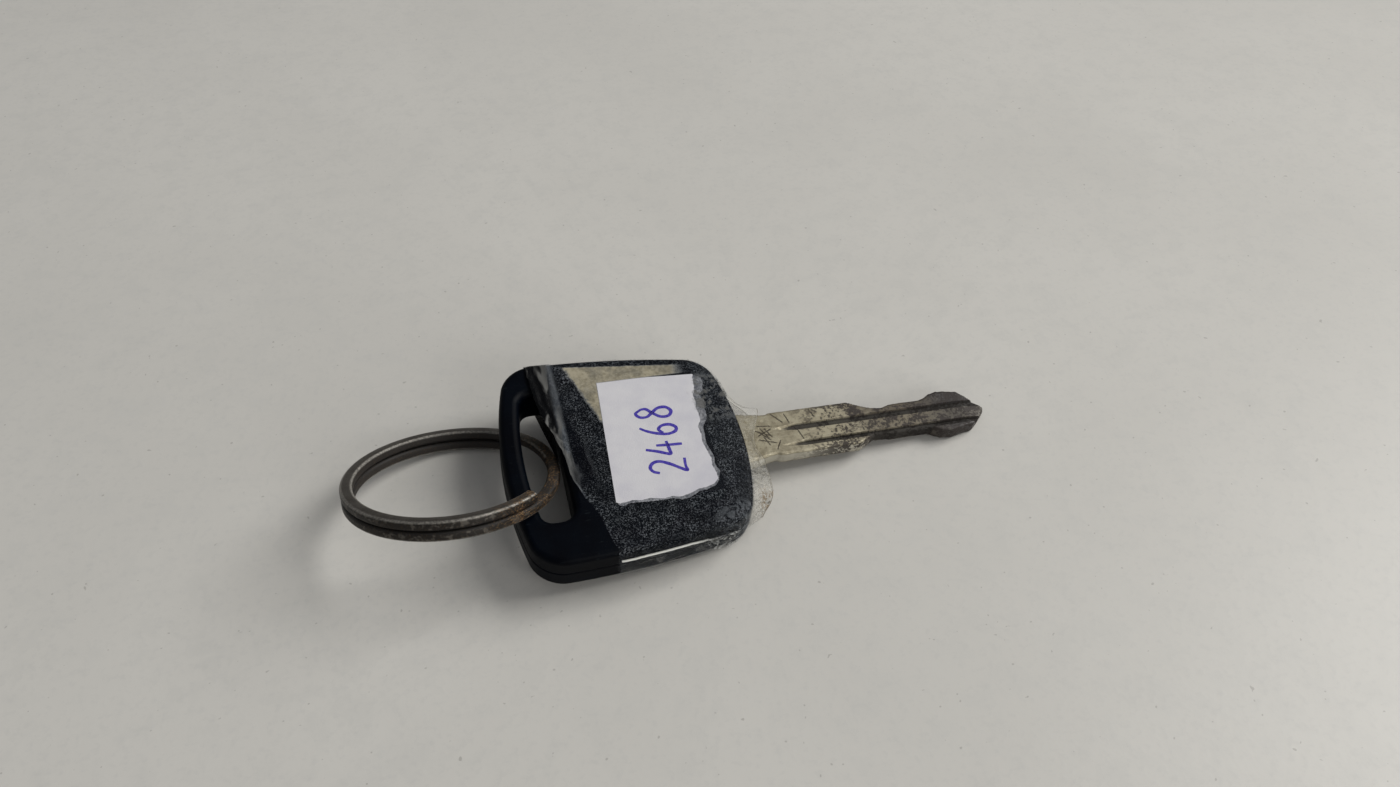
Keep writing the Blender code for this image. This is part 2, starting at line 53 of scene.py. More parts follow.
# Head
HEAD_LENGTH = 37.4
HEAD_RING_HALF = 18.7
HEAD_NECK_HALF = 15.7
HEAD_HEIGHT = 6.5
RING_SIDE_BOW = 2.8
NECK_SIDE_BOW = 2.6
LONG_SIDE_BOW = 0.9
CORNER_RADIUS = 5.8
RIM_RADIUS = 1.0
SEAM_RADIUS = 0.2
SEAM_GAP = 0.1
BAR_WIDTH = 3.3
SLOT_WIDTH = 5.7
SLOT_ENDS = (-11.3, 12.7)
SLOT_CORNER_RADIUS = 2.39
SLOT_RIM_RADIUS = 1.3
MIDDLE = HEAD_HEIGHT / 2
BAR_X = BAR_WIDTH / 2 - HEAD_LENGTH
SLOT_RING_X = BAR_WIDTH - HEAD_LENGTH
SLOT_NECK_X = SLOT_RING_X + SLOT_WIDTH
TANG_POCKET = (-13.15, 5.05, 1.325)  # reach into the head, half width, half height

# Blade
BLADE_HALF_THICK = 1.175

# Split ring
RING_RADIUS = 16.1
RING_Y = 0.6
WIRE_WIDTH = 1.87
WIRE_HEIGHT = 1.5
WIRE_CORNER = 0.46
TURN_GAP = 0.2
RING_CENTRE = Vector((SLOT_NECK_X - 0.4 - RING_RADIUS, RING_Y, MIDDLE))
UPPER_END = math.radians(-45)
LOWER_END = math.radians(-308)
CROSSING = (math.radians(47), math.radians(-43))
RING_TILT = math.radians(28.37)


def key_pose():
    """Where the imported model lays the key's own frame."""
    record = frame["record"]
    hinge = frame["joints"][0]
    upper = next(mount for mount in record["mounts"] if mount["name"] == "blade_upper_face")
    across = Vector(hinge["axis"]).normalized()
    up = Vector(upper["axis"])
    along = across.cross(up).normalized()
    turn = Matrix((along, across, along.cross(across))).transposed()
    origin = Vector(hinge["pos_m"]) - turn @ Vector((BAR_X, 0, MIDDLE)) * MM
    return Matrix.Translation(origin) @ turn.to_4x4()


KEY = key_pose()


def colour(screen):
    """A colour's red, green and blue on a screen, 0 to 255, as the shaders' own light values."""
    return tuple((part / 255) ** SCREEN_GAMMA for part in screen) + (1.0,)


class Value:
    """A number inside a finish. Python's operators on it add the Math nodes."""

    def __init__(self, finish, socket):
        self.finish = finish
        self.socket = socket

    def __add__(self, other):
        return self.finish.maths("ADD", self, other)

    def __sub__(self, other):
        return self.finish.maths("SUBTRACT", self, other)

    def __rsub__(self, other):
        return self.finish.maths("SUBTRACT", other, self)

    def __mul__(self, other):
        return self.finish.maths("MULTIPLY", self, other)

    def __abs__(self):
        return self.finish.maths("ABSOLUTE", self)

    __radd__ = __add__
    __rmul__ = __mul__

    def least(self, other):
        return self.finish.maths("MINIMUM", self, other)

    def most(self, other):
        return self.finish.maths("MAXIMUM", self, other)

    def fade(self, low, high):
        """0 at low and 1 at high, smooth between and level beyond."""
        sockets = {"Value": self, "From Min": low, "From Max": high}
        node = self.finish.node("MapRange", {"interpolation_type": "SMOOTHSTEP"}, sockets)
        return Value(self.finish, node.outputs["Result"])


class Finish:
    """One material and its nodes. Places on it are in millimetres in the key's own frame."""

    def __init__(self, name):
        self.material = bpy.data.materials.new(name)
        self.material.use_nodes = True
        tree = self.material.node_tree
        self.nodes, self.links = tree.nodes, tree.links
        self.nodes.clear()
        pose = {"Location": KEY.translation, "Rotation": KEY.to_euler(), "Scale": (MM, MM, MM)}
        pose["Vector"] = self.node("TexCoord").outputs["Object"]
        self.place = self.node("Mapping", {"vector_type": "TEXTURE"}, pose).outputs["Vector"]
        parts = self.node("SeparateXYZ", sockets={"Vector": self.place}).outputs
        self.x, self.y, self.z = (Value(self, parts[axis]) for axis in "XYZ")

    def node(self, kind, settings=None, sockets=None):
        """Adds a node: its settings first, then a value or a link for each socket."""
        made = self.nodes.new(f"ShaderNode{kind}")
        for name, value in (settings or {}).items():
            setattr(made, name, value)
        for name, value in (sockets or {}).items():
            value = value.socket if isinstance(value, Value) else value
            if isinstance(value, bpy.types.NodeSocket):
                self.links.new(value, made.inputs[name])
            else:
                made.inputs[name].default_value = value
        return made

    def maths(self, operation, *numbers):
        made = self.node("Math", {"operation": operation}, dict(enumerate(numbers)))
        return Value(self, made.outputs[0])

    def blend(self, share, *pair):
        """A share of the second colour over the first; each is a link or a screen's three numbers."""
        first, second = (colour(item) if isinstance(item, tuple) else item for item in pair)
        sockets = {0: share, 6: first, 7: second}
        return self.node("Mix", {"data_type": "RGBA"}, sockets).outputs[2]

    def noise(self, per_mm, detail=2.0, roughness=0.5, stretch=None, distortion=0.0):
        """Cloudy noise about 0.5, with this many features to a millimetre."""
        place = self.place
        if stretch:
            place = self.node("VectorMath", {"operation": "MULTIPLY"}, {0: place, 1: stretch}).outputs[0]
        sockets = {
            "Vector": place, "Scale": per_mm, "Detail": detail,
            "Roughness": roughness, "Distortion": distortion,
        }
        return Value(self, self.node("TexNoise", sockets=sockets).outputs["Fac"])

    def attribute(self, name):
        return Value(self, self.node("Attribute", {"attribute_name": name}).outputs["Fac"])

    def band(self, start, end, half_width, wobble=0.0):
        """1 on a straight line between two places on the face, 0 beyond half_width beside it."""
        along = Vector(end) - Vector(start)
        length = along.length
        along /= length
        beside_x, beside_y = self.x - start[0], self.y - start[1]
        beside = beside_x * -along.y + beside_y * along.x
        forward = beside_x * along.x + beside_y * along.y
        across = abs(beside + wobble).fade(half_width, half_width * 0.3)
        begun = forward.fade(-half_width, half_width)
        ended = forward.fade(length + half_width, length - half_width)
        return across * (begun * ended)

    def left_of(self, start, end):
        """How far a place is to the left of a line, looking along it, in millimetres."""
        along = (Vector(end) - Vector(start)).normalized()
        return (self.x - start[0]) * -along.y + (self.y - start[1]) * along.x

    def bump(self, height, depth_mm):
        sockets = {"Height": height, "Distance": depth_mm * MM, "Strength": 1.0}
        return self.node("Bump", sockets=sockets).outputs["Normal"]

    def cover(self, **sockets):
        """Ends the finish in one surface; the sockets' names have _ for a space."""
        named = {name.replace("_", " "): value for name, value in sockets.items()}
        surface = self.node("BsdfPrincipled", sockets=named)
        self.node("OutputMaterial", sockets={"Surface": surface.outputs[0]})
        return self.material


def loose_object(name, data):
    made = bpy.data.objects.new(name, data)
    bpy.context.scene.collection.objects.link(made)
    return made


def piece(name, mesh, finish, body="key", smooth_degrees=40):
    """Lays a mesh, made in millimetres in the key's frame, with the key, riding on a body."""
    mesh.transform(KEY @ Matrix.Scale(MM, 4))
    mesh.materials.clear()
    mesh.materials.append(finish)
    mesh.shade_smooth()
    mesh.set_sharp_from_angle(angle=math.radians(smooth_degrees))
    made = loose_object(name, mesh)
    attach(made, body)
    return made


def mesh_of(shape, name):
    mesh = bpy.data.meshes.new(name)
    shape.to_mesh(mesh)
    shape.free()
    return mesh


def grid_mesh(name, rows, closed=False, capped=False, marks=None):
    """A mesh through rows of points. Closed joins each row's ends; capped fills the first and last row.

    Marks are numbers laid on the points for the finish to read: a name, and rows that match the points'.
    """
    shape = bmesh.new()
    layers = {mark: shape.verts.layers.float.new(mark) for mark in marks or {}}
    made = [[shape.verts.new(point) for point in row] for row in rows]
    for mark, layer in layers.items():
        for row, values in zip(made, marks[mark]):
            for vert, value in zip(row, values):
                vert[layer] = value
    for lower, upper in zip(made, made[1:]):
        for k in range(len(lower) - (not closed)):
            after = (k + 1) % len(lower)
            shape.faces.new((lower[k], lower[after], upper[after], upper[k]))
    if capped:
        shape.faces.new(made[0][::-1])
        shape.faces.new(made[-1])
    if shape.calc_volume(signed=True) < 0:
        bmesh.ops.reverse_faces(shape, faces=shape.faces)
    return mesh_of(shape, name)


def solid_mesh(name, rows, marks=None):
    return grid_mesh(name, rows, closed=True, capped=True, marks=marks)


def joined(mesh, distance):
    """A mesh's shape with the points closer than a distance made one."""
    shape = bmesh.new()
    shape.from_mesh(mesh)
    bpy.data.meshes.remove(mesh)
    bmesh.ops.remove_doubles(shape, verts=shape.verts, dist=distance)
    return shape


def made_with(obj):
    """A new mesh with an object's modifiers carried out; the object goes."""
    graph = bpy.context.evaluated_depsgraph_get()
    graph.update()
    mesh = bpy.data.meshes.new_from_object(obj.evaluated_get(graph))
    bpy.data.objects.remove(obj)
    return mesh


def eased(value, low, high):
    share = min(max((value - low) / (high - low), 0), 1)
    return share * share * (3 - 2 * share)


def along_table(table, value):
    """A table of pairs read at a value of its first column, straight between the pairs."""
    if value <= table[0][0]:
        return table[0][1]
    for (low, first), (high, second) in zip(table, table[1:]):
        if value <= high:
            return first + (second - first) * (value - low) / (high - low)
    return table[-1][1]


def ripple(x, y, z, per_mm, detail=3):
    """Smooth noise between about -1 and 1."""
    return noise.fractal(Vector((x, y, z)) * per_mm, 1.0, 2.0, detail)


# --- outlines of the head

def side_point(start, end, bow, share):
    along = end - start
    outward = Vector((along.y, -along.x)).normalized()
    return start + along * share + outward * bow * 4 * share * (1 - share)


def side_heading(start, end, bow, share):
    ahead, behind = (side_point(start, end, bow, share + step) for step in (1e-4, -1e-4))
    return (ahead - behind).normalized()


def rounded_outline(corners, bows, radius, side_step, corner_steps):
    """A counter-clockwise outline of bowed sides with rounded corners."""
    ends = zip(corners, corners[1:] + corners[:1], bows)
    sides = [(Vector(start), Vector(end), bow) for start, end, bow in ends]
    joins = list(zip(sides, sides[1:] + sides[:1]))
    turns = [side_heading(*side, 1).angle(side_heading(*after, 0)) for side, after in joins]
    runs = [radius * math.tan(turn / 2) for turn in turns]
    outline = []
    for k, (side, after) in enumerate(joins):
        length = (side[1] - side[0]).length
        first, last = runs[k - 1] / length, 1 - runs[k] / length
        steps = math.ceil((last - first) * length / side_step)
        shares = [first + (last - first) * step / steps for step in range(steps + 1)]
        outline += [side_point(*side, share) for share in shares]
        leave, arrive_share = outline[-1], runs[k] / (after[1] - after[0]).length
        arrive = side_point(*after, arrive_share)
        reach = radius * 4 / 3 * math.tan(turns[k] / 4)
        leaving = leave + reach * side_heading(*side, last)
        arriving = arrive - reach * side_heading(*after, arrive_share)
        handles = [point.to_3d() for point in (leave, leaving, arriving, arrive)]
        curve = interpolate_bezier(*handles, corner_steps + 1)
        outline += [point.to_2d() for point in curve[1:-1]]
    return outline


def grown(outline, distance):
    moved = []
    for k, point in enumerate(outline):
        before = (point - outline[k - 1]).normalized()
        after = (outline[(k + 1) % len(outline)] - point).normalized()
        outward = Vector((before.y + after.y, -before.x - after.x)).normalized()
        moved.append(point + outward * distance / outward.dot(Vector((before.y, -before.x))))
    return moved


def head_outline():
    ring_x, neck_x = RING_SIDE_BOW - HEAD_LENGTH, -NECK_SIDE_BOW
    corners = [
        (ring_x, -HEAD_RING_HALF), (neck_x, -HEAD_NECK_HALF),
        (neck_x, HEAD_NECK_HALF), (ring_x, HEAD_RING_HALF),
    ]
    bows = [LONG_SIDE_BOW, NECK_SIDE_BOW, LONG_SIDE_BOW, RING_SIDE_BOW]
    return rounded_outline(corners, bows, CORNER_RADIUS, 1.2, 16)


def slot_outline():
    near, far = SLOT_ENDS
    rise = RING_SIDE_BOW * (far - near) ** 2 / (2 * HEAD_RING_HALF) ** 2
    ring_x = SLOT_RING_X + rise
    radius = min(SLOT_CORNER_RADIUS, 0.42 * (SLOT_NECK_X - ring_x))
    corners = [(ring_x, near), (SLOT_NECK_X, near), (SLOT_NECK_X, far), (ring_x, far)]
    return rounded_outline(corners, [0, 0, 0, rise], radius, 1.0, 10)


def rim_arc(radius, steps):
    angles = [math.pi / 2 * step / steps for step in range(steps + 1)]
    return [(radius * (1 - math.cos(angle)), radius * (1 - math.sin(angle))) for angle in angles]


def block_rows(outline, bottom, top, bottom_radius, top_radius, steps=8):
    lower = [(bottom + rise, inset) for rise, inset in rim_arc(bottom_radius, steps)]
    upper = [(top - rise, inset) for rise, inset in rim_arc(top_radius, steps)]
    levels = lower + upper[::-1]
    return [[(*point, height) for point in grown(outline, -inset)] for height, inset in levels]


def slot_cutter():
    arc = rim_arc(SLOT_RIM_RADIUS, 8)
    flare = SLOT_RIM_RADIUS + 0.02
    lower = [(-1.0, flare), (-0.02, flare)] + arc[1:]
    upper = [(HEAD_HEIGHT - height, out) for height, out in lower[::-1]]
    outline = slot_outline()
    rows = [[(*point, height) for point in grown(outline, out)] for height, out in lower + upper]
    return loose_object("slot_cutter", solid_mesh("slot_cutter", rows))


def tang_cutter():
    reach, half, rise = TANG_POCKET
    rows = [
        [(x, y, MIDDLE + z) for y, z in ((-half, -rise), (half, -rise), (half, rise), (-half, rise))]
        for x in (reach, 1.0)
    ]
    return loose_object("tang_cutter", solid_mesh("tang_cutter", rows))


def make_head(finish):
    """The two moulded halves of the head, each with its half of the ring slot and of the tang's pocket."""
    cutters = [slot_cutter(), tang_cutter()]
    below, above = MIDDLE - SEAM_GAP / 2, MIDDLE + SEAM_GAP / 2
    halves = (
        ("head_lower_moulding", "head_lower_shell", (0, below, RIM_RADIUS, SEAM_RADIUS)),
        ("head_upper_moulding", "head_upper_shell", (above, HEAD_HEIGHT, SEAM_RADIUS, RIM_RADIUS)),
    )
    for name, node, levels in halves:
        half = loose_object(name, solid_mesh(name, block_rows(head_outline(), *levels)))
        for cutter in cutters:
            cut = half.modifiers.new(cutter.name, "BOOLEAN")
            cut.operation = "DIFFERENCE"
            cut.solver = "EXACT"
            cut.object = cutter
        moulding = piece(name, made_with(half), finish)
        level = moulding.modifiers.new("flat faces stay flat", "WEIGHTED_NORMAL")
        level.keep_sharp = True
        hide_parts(node)
    for cutter in cutters:
        bpy.data.objects.remove(cutter)


# --- blade

FAR_EDGE = (
    (-13.0, 4.9), (0.0, 4.9), (4.6, 3.98), (5.1, 3.95), (5.5, 4.18), (5.9, 4.25), (18.9, 4.25),
    (19.6, 4.0), (21.2, 3.15), (22.8, 2.45), (24.5, 2.15), (26.0, 2.55), (26.9, 2.65), (31.5, 2.65),
    (32.4, 3.0), (33.6, 3.65), (35.0, 3.95), (36.8, 3.65), (38.4, 3.35), (39.5, 2.45), (40.6, 1.15),
    (41.6, 0.4), (42.0, -0.4),
)
NEAR_EDGE = (
    (-13.0, -4.9), (0.0, -4.9), (4.6, -3.98), (5.1, -3.95), (5.5, -4.18), (5.9, -4.25), (19.0, -4.2),
    (20.6, -3.35), (21.9, -2.65), (24.9, -2.95), (31.4, -2.95), (32.2, -3.5), (33.2, -4.05),
    (35.0, -4.25), (37.1, -3.85), (38.9, -3.55), (40.3, -2.45), (41.6, -1.2), (42.0, -0.4),
)
GROOVES = ((5.4, 0.68, 1.32), (6.2, -2.65, 1.04))  # start, middle across, width of the mouth
GROOVE_DEPTH = 0.55
GROOVE_RUN_IN = 4.0
TIP_START = 38.4
BLADE_LINES = (  # where the loft's lengthwise lines run across the blade, closer at the grooves' lips
    [-4.9, -4.6] + [-4.25 + 0.14 * k for k in range(8)]
    + [-3.17, -3.08, -3.0, -2.88, -2.65, -2.42, -2.3, -2.22, -2.13]
    + [-1.95 + 0.28 * k for k in range(7)]
    + [0.02, 0.1, 0.2, 0.34, 0.52, 0.68, 0.84, 1.02, 1.16, 1.26, 1.34]
    + [1.5 + 0.2 * k for k in range(15)] + [4.6, 4.9]
)


def groove_fall(x, y):
    """How deep the milled grooves are at a place on a face."""
    fall = 0.0
    for start, across, width in GROOVES:
        share = min(max((x - start) / GROOVE_RUN_IN, 0), 1)
        half = width / 2 * share
        if half > 0:
            inside = 1 - eased(abs(y - across), half * 0.62, half * 1.02)
            fall = max(fall, GROOVE_DEPTH * share * inside)
    return fall


def blade_rise(x, y, far, near, side):
    """Half thickness of the blade at a place on one face: grooves, worn rims, thinned tip and dents."""
    edge = min(far - y, y - near)
    rim = 0.3 + 0.12 * ripple(x, side * 7, y, 0.6)
    rounding = rim - math.sqrt(max(rim * rim - max(rim - edge, 0) ** 2, 0))
    rise = BLADE_HALF_THICK - groove_fall(x, side * y) - 0.85 * rounding
    rise -= 0.6 * max(x - TIP_START, 0) / (FAR_EDGE[-1][0] - TIP_START)
    rise -= 0.025 * max(ripple(x, y, 3 * side, 1.3), 0)
    return max(rise, 0.35)


def make_blade(finish):
    """Loft of the blade along its length; its rows are clamped between the two cut edges."""
    steps = [-13.0 + k for k in range(13)] + [0.2 * k for k in range(211)]
    rows = []
    for x in steps:
        wear = 0.05 if 6 < x < 41.5 else 0
        far = along_table(FAR_EDGE, x) + wear * ripple(x, 0, 5, 0.9)
        near = along_table(NEAR_EDGE, x) + wear * ripple(x, 9, 5, 0.9)
        lines = [min(max(y, near), far) for y in BLADE_LINES]
        top = [(x, y, MIDDLE + blade_rise(x, y, far, near, 1)) for y in lines]
        under = [(x, y, MIDDLE - blade_rise(x, y, far, near, -1)) for y in lines[::-1]]
        rows.append(top + under)
    shape = joined(solid_mesh("key_blade_worn", rows), 0.004)
    bmesh.ops.dissolve_degenerate(shape, edges=shape.edges, dist=0.002)
    mesh = mesh_of(shape, "key_blade_worn")
    blade = piece("key_blade_worn", mesh, finish, smooth_degrees=50)
    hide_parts("key_blade")


# --- split ring

def turn_height(angle):
    share = 1 - eased(angle, CROSSING[1], CROSSING[0])
    return (WIRE_HEIGHT + TURN_GAP) * (0.5 - share)


def wire_section(steps=5):
    """The flattened wire with rounded corners: outward from the ring's middle, and along its axis."""
    wide, high = WIRE_WIDTH / 2 - WIRE_CORNER, WIRE_HEIGHT / 2 - WIRE_CORNER
    section = []
    for quarter, (out, up) in enumerate(((wide, high), (-wide, high), (-wide, -high), (wide, -high))):
        for step in range(steps + 1):
            angle = math.pi / 2 * (quarter + step / steps)
            section.append((out + WIRE_CORNER * math.cos(angle), up + WIRE_CORNER * math.sin(angle)))
    return section


def make_ring(finish):
    """Two close turns of wire, through the slot once, with square cut ends.

    The finish reads three marks: the angle round the ring, how far a place is toward the ring's
    outside (1) or inside (-1), and how far toward the other turn (1) or away from it (-1).
    """
    start = UPPER_END + 2 * math.pi
    total = start - LOWER_END
    steps = round(math.degrees(total) / 2.2)
    axis = Vector((0, math.sin(RING_TILT), math.cos(RING_TILT)))
    across = Vector((0, math.cos(RING_TILT), -math.sin(RING_TILT)))
    section = wire_section()
    rows, turn, outside, other = [], [], [], []
    for step in range(steps + 1):
        angle = start - total * step / steps
        outward = math.cos(angle) * Vector((1, 0, 0)) + math.sin(angle) * across
        height = turn_height(angle)
        centre = RING_CENTRE + (RING_RADIUS - WIRE_WIDTH / 2) * outward + height * axis
        swell = 1 - 0.006 * abs(ripple(angle * 6, 0, 0, 1.0))
        rows.append([centre + out * swell * outward + up * swell * axis for out, up in section])
        turn.append([math.degrees(angle)] * len(section))
        outside.append([out / (WIRE_WIDTH / 2) for out, _ in section])
        toward = math.copysign(1, -height) if abs(height) > 0.1 else 0
        other.append([toward * up / (WIRE_HEIGHT / 2) for _, up in section])
    marks = {"turn": turn, "outside": outside, "other": other}
    mesh = solid_mesh("split_ring_worn", rows, marks)
    ring = piece("split_ring_worn", mesh, finish, body="ring", smooth_degrees=45)
    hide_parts("split_ring")


# --- label

LABEL_BOTTOM = HEAD_HEIGHT + 0.05
LABEL_THICKNESS = 0.1
LABEL_CORNER = Vector((-20.7, 13.5))  # where the two straight edges meet
LABEL_TORN = (  # the two torn edges, from one straight edge to the other
    (-22.2, -10.1), (-21.6, -10.35), (-20.0, -10.1), (-18.2, -10.3), (-16.9, -10.2), (-15.2, -10.6),
    (-13.9, -10.4), (-12.6, -10.7), (-11.0, -10.4), (-9.6, -9.8), (-8.4, -9.7), (-7.1, -9.3), (-6.3, -8.6),
    (-6.2, -7.2), (-6.5, -5.9), (-6.3, -4.6), (-6.6, -3.0), (-6.9, -1.4), (-6.7, 0.2), (-6.8, 1.6),
    (-6.2, 3.0), (-6.1, 4.3), (-6.2, 5.6), (-6.0, 6.8), (-6.1, 8.0), (-5.6, 9.0), (-5.4, 10.4),
    (-5.3, 11.5), (-5.1, 12.4),
)


def torn_line(points, reach, seed):
    """A torn paper edge: the points joined by short steps that wander to either side."""
    line = []
    for start, end in zip(points, points[1:]):
        start, end = Vector(start), Vector(end)
        steps = max(round((end - start).length / 0.22), 1)
        side = Vector((end.y - start.y, start.x - end.x)).normalized()
        for step in range(steps):
            point = start.lerp(end, step / steps)
            wander = ripple(point.x, point.y, seed, 0.9) + ripple(point.x, point.y, seed, 3.1, 4)
            line.append(point + side * reach * wander / 2)
    return line + [Vector(points[-1])]


def flat_sheet(name, outline, bottom, top):
    rows = [[(*point, height) for point in outline] for height in (bottom, top)]
    return solid_mesh(name, rows)


def make_label(paper, torn_paper):
    """The label's white face, and the thinner grey layer of paper that its torn edges leave around it."""
    torn = torn_line(LABEL_TORN, 0.16, 1.0)
    middle = LABEL_BOTTOM + LABEL_THICKNESS * 0.45
    face = flat_sheet("label_face", torn + [LABEL_CORNER], middle, LABEL_BOTTOM + LABEL_THICKNESS)
    label = piece("label_face", face, paper)
    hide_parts("paper_label")
    spread = []
    for k, (x, y) in enumerate(LABEL_TORN):
        out = 0.45 + 0.9 * eased(y, 0, 5) + 0.35 * ripple(x, y, 3.0, 0.7)
        out *= k not in (0, len(LABEL_TORN) - 1)
        low = eased(-y, 7, 10)
        spread.append((x + out * (1 - low), y - out * low))
    outline = torn_line(spread, 0.2, 5.0) + [LABEL_CORNER]
    layer = flat_sheet("label_torn_layer", outline, LABEL_BOTTOM, middle - 0.004)
    piece("label_torn_layer", layer, torn_paper)


DIGIT_UP = 1.6
# Handwritten digits, each as pen strokes through points: across the digit, then up it, 1 by DIGIT_UP
DIGITS = {
    "2": [
        ((0.05, 1.25), (0.2, 1.5), (0.52, 1.6), (0.85, 1.42), (0.9, 1.1), (0.62, 0.68), (0.25, 0.3),
         (0.05, 0.04), (0.4, 0.06), (0.98, 0.02)),
    ],
    "4": [
        ((0.5, 1.58), (0.3, 1.1), (0.04, 0.58), (0.4, 0.56), (1.0, 0.6)),
        ((0.74, 1.08), (0.7, 0.5), (0.68, -0.06)),
    ],
    "6": [
        ((0.8, 1.6), (0.5, 1.34), (0.2, 0.9), (0.06, 0.42), (0.25, 0.06), (0.6, 0.0), (0.88, 0.25),
         (0.84, 0.6), (0.52, 0.78), (0.2, 0.62)),
    ],
    "8": [
        ((0.82, 1.36), (0.55, 1.6), (0.24, 1.45), (0.22, 1.14), (0.52, 0.86), (0.84, 0.56), (0.86, 0.2),
         (0.52, 0.0), (0.16, 0.16), (0.14, 0.52), (0.5, 0.86), (0.84, 1.1), (0.84, 1.38)),
    ],
}
NUMBER = (("2", -6.3, 2.5), ("4", -2.9, 2.6), ("6", 0.9, 2.2), ("8", 4.2, 2.5))  # digit, start y, width
NUMBER_FOOT_X = -10.3
NUMBER_HEIGHT = 5.6
PEN_HALF = 0.27


def pen_path(points, steps=9):
    """A smooth path through the stroke's points."""
    points = [Vector(point) for point in points]
    padded = [2 * points[0] - points[1]] + points + [2 * points[-1] - points[-2]]
    path = []
    for before, start, end, after in zip(padded, padded[1:], padded[2:], padded[3:]):
        for step in range(steps):
            t = step / steps
            path.append(0.5 * (
                2 * start + (end - before) * t + (2 * before - 5 * start + 4 * end - after) * t ** 2
                + (3 * start - before - 3 * end + after) * t ** 3
            ))
    return path + [points[-1]]


def make_number(ink):
    """The number written on the label, as ribbons of ink."""
    shape = bmesh.new()
    height = LABEL_BOTTOM + LABEL_THICKNESS
    for digit, start_y, width in NUMBER:
        for stroke in DIGITS[digit]:
            path = [
                Vector((NUMBER_FOOT_X - up * NUMBER_HEIGHT / DIGIT_UP, start_y + across * width + 0.12 * up))
                for across, up in (tuple(point) for point in pen_path(stroke))
            ]
            rows = []
            for k, point in enumerate(path):
                ahead = (path[min(k + 1, len(path) - 1)] - path[max(k - 1, 0)]).normalized()
                side = Vector((-ahead.y, ahead.x))
                share = k / (len(path) - 1)
                half = PEN_HALF + 0.05 * ripple(point.x, point.y, 2, 0.8) - 0.06 * abs(2 * share - 1) ** 4
                left, right = point + side * half, point - side * half
                low, high = height - 0.01, height + 0.014
                rows.append([(*left, low), (*right, low), (*right, high), (*left, high)])
            mesh = solid_mesh("stroke", rows)
            shape.from_mesh(mesh)
            bpy.data.meshes.remove(mesh)
    piece("label_number", mesh_of(shape, "label_number"), ink)


# --- clear tape

FILM_THICKNESS = 0.06
FOLDED_THICKNESS = 0.07
FILM_LIFT = 0.16  # from the head's top to the film
FILM_GAP = 0.17  # from the head's other faces to the film
TOP_FREE_EDGE = (  # across the head, and how far along the tape's free edge is there
    (-18.6, -23.4), (-16.3, -24.0), (-11.8, -24.9), (-8.3, -26.4), (-4.9, -27.7), (0.5, -28.35),
    (4.0, -29.3), (7.1, -30.3), (11.7, -31.0), (18.6, -31.5),
)
FLAT_TOP_HALF = 17.6
NEAR_FREE_X, FAR_FREE_X = TOP_FREE_EDGE[0][1], TOP_FREE_EDGE[-1][1]
FREE_EDGE_FOLDS = (  # distance in from the free edge, width, height
    (0.5, 0.45, 0.42), (1.9, 0.5, 0.36), (3.3, 0.42, 0.26), (4.7, 0.5, 0.16),
)
NECK_END_X = -0.45
HEAD_WIDTHS = sorted((point.x, point.y) for point in head_outline() if point.y > 0)


def half_width(x, gap):
    """Half width of the head grown by a gap, at a place along it."""
    width = along_table(HEAD_WIDTHS, x - gap * eased(x, -8, 0))
    return width + gap * (1 - 0.6 * eased(x, -5, 0))


def film_lift(x, y, inward):
    """How far the film stands off the head's top, with loose folds along its free edge."""
    loose = eased(y, -8.5, -4.0) * (1 - 0.45 * eased(y, 11, 17))
    folds = 0.0
    for place, width, height in FREE_EDGE_FOLDS:
        beside = (inward - place - 0.9 * ripple(y, place * 3, 0, 0.28)) / width
        folds += height * math.exp(-(beside**2)) * (0.75 + 0.5 * ripple(y, place, 4, 0.35))
    lift = FILM_LIFT + loose * (max(folds, 0) + 0.22 * math.exp(-inward / 1.6))
    crumple = 0.05 * abs(ripple(x, y, 0, 0.45, 4)) + 0.02 * ripple(x, y, 8, 1.6)
    return lift + crumple * (0.4 + loose * (1 - eased(inward, 4, 7)))


def wrap_section(lines=76):
    """Places round the head's section: the face they are on, and how far across or down it."""
    rim = [math.pi / 2 * k / 5 for k in range(1, 5)]
    wall = [k / 7 for k in range(8)]
    faces = {
        "top": [-1 + 2 * k / (lines - 1) for k in range(lines)],
        "far_rim": rim, "far": wall, "far_low": rim,
        "under": [1 - 2 * k / 30 for k in range(31)],
        "near_low": rim, "near": wall, "near_rim": rim,
    }
    return [(face, place) for face, places in faces.items() for place in places]


def wrap_point(face, share, x, gap):
    """A point on the head's skin at x, moved out by a gap."""
    half = half_width(x, gap)
    flat = half - RIM_RADIUS - gap
    high, low = HEAD_HEIGHT + gap, -gap
    radius = RIM_RADIUS + gap
    if face in ("top", "under"):
        return Vector((x, share * flat, high if face == "top" else low))
    sign = 1 if face.startswith("far") else -1
    if face in ("far", "near"):
        down = share if face == "far" else 1 - share
        upper, lower = high - radius, low + radius
        return Vector((x, sign * half, upper + (lower - upper) * down))
    # Round a rim, the share is an angle: from flat face to wall, or in two of the rims from wall to face
    out, up = math.sin(share), math.cos(share)
    if face in ("far_low", "near_rim"):
        out, up = up, out
    height = high - radius + radius * up if face.endswith("rim") else low + radius - radius * up
    return Vector((x, sign * (flat + radius * out), height))


def free_edge_x(face, share):
    """Where the tape's free edge crosses each face of the head."""
    if face == "top":
        return along_table(TOP_FREE_EDGE, share * FLAT_TOP_HALF)
    if face == "under":
        return -27.5 - share * 4.0
    return FAR_FREE_X if face.startswith("far") else NEAR_FREE_X


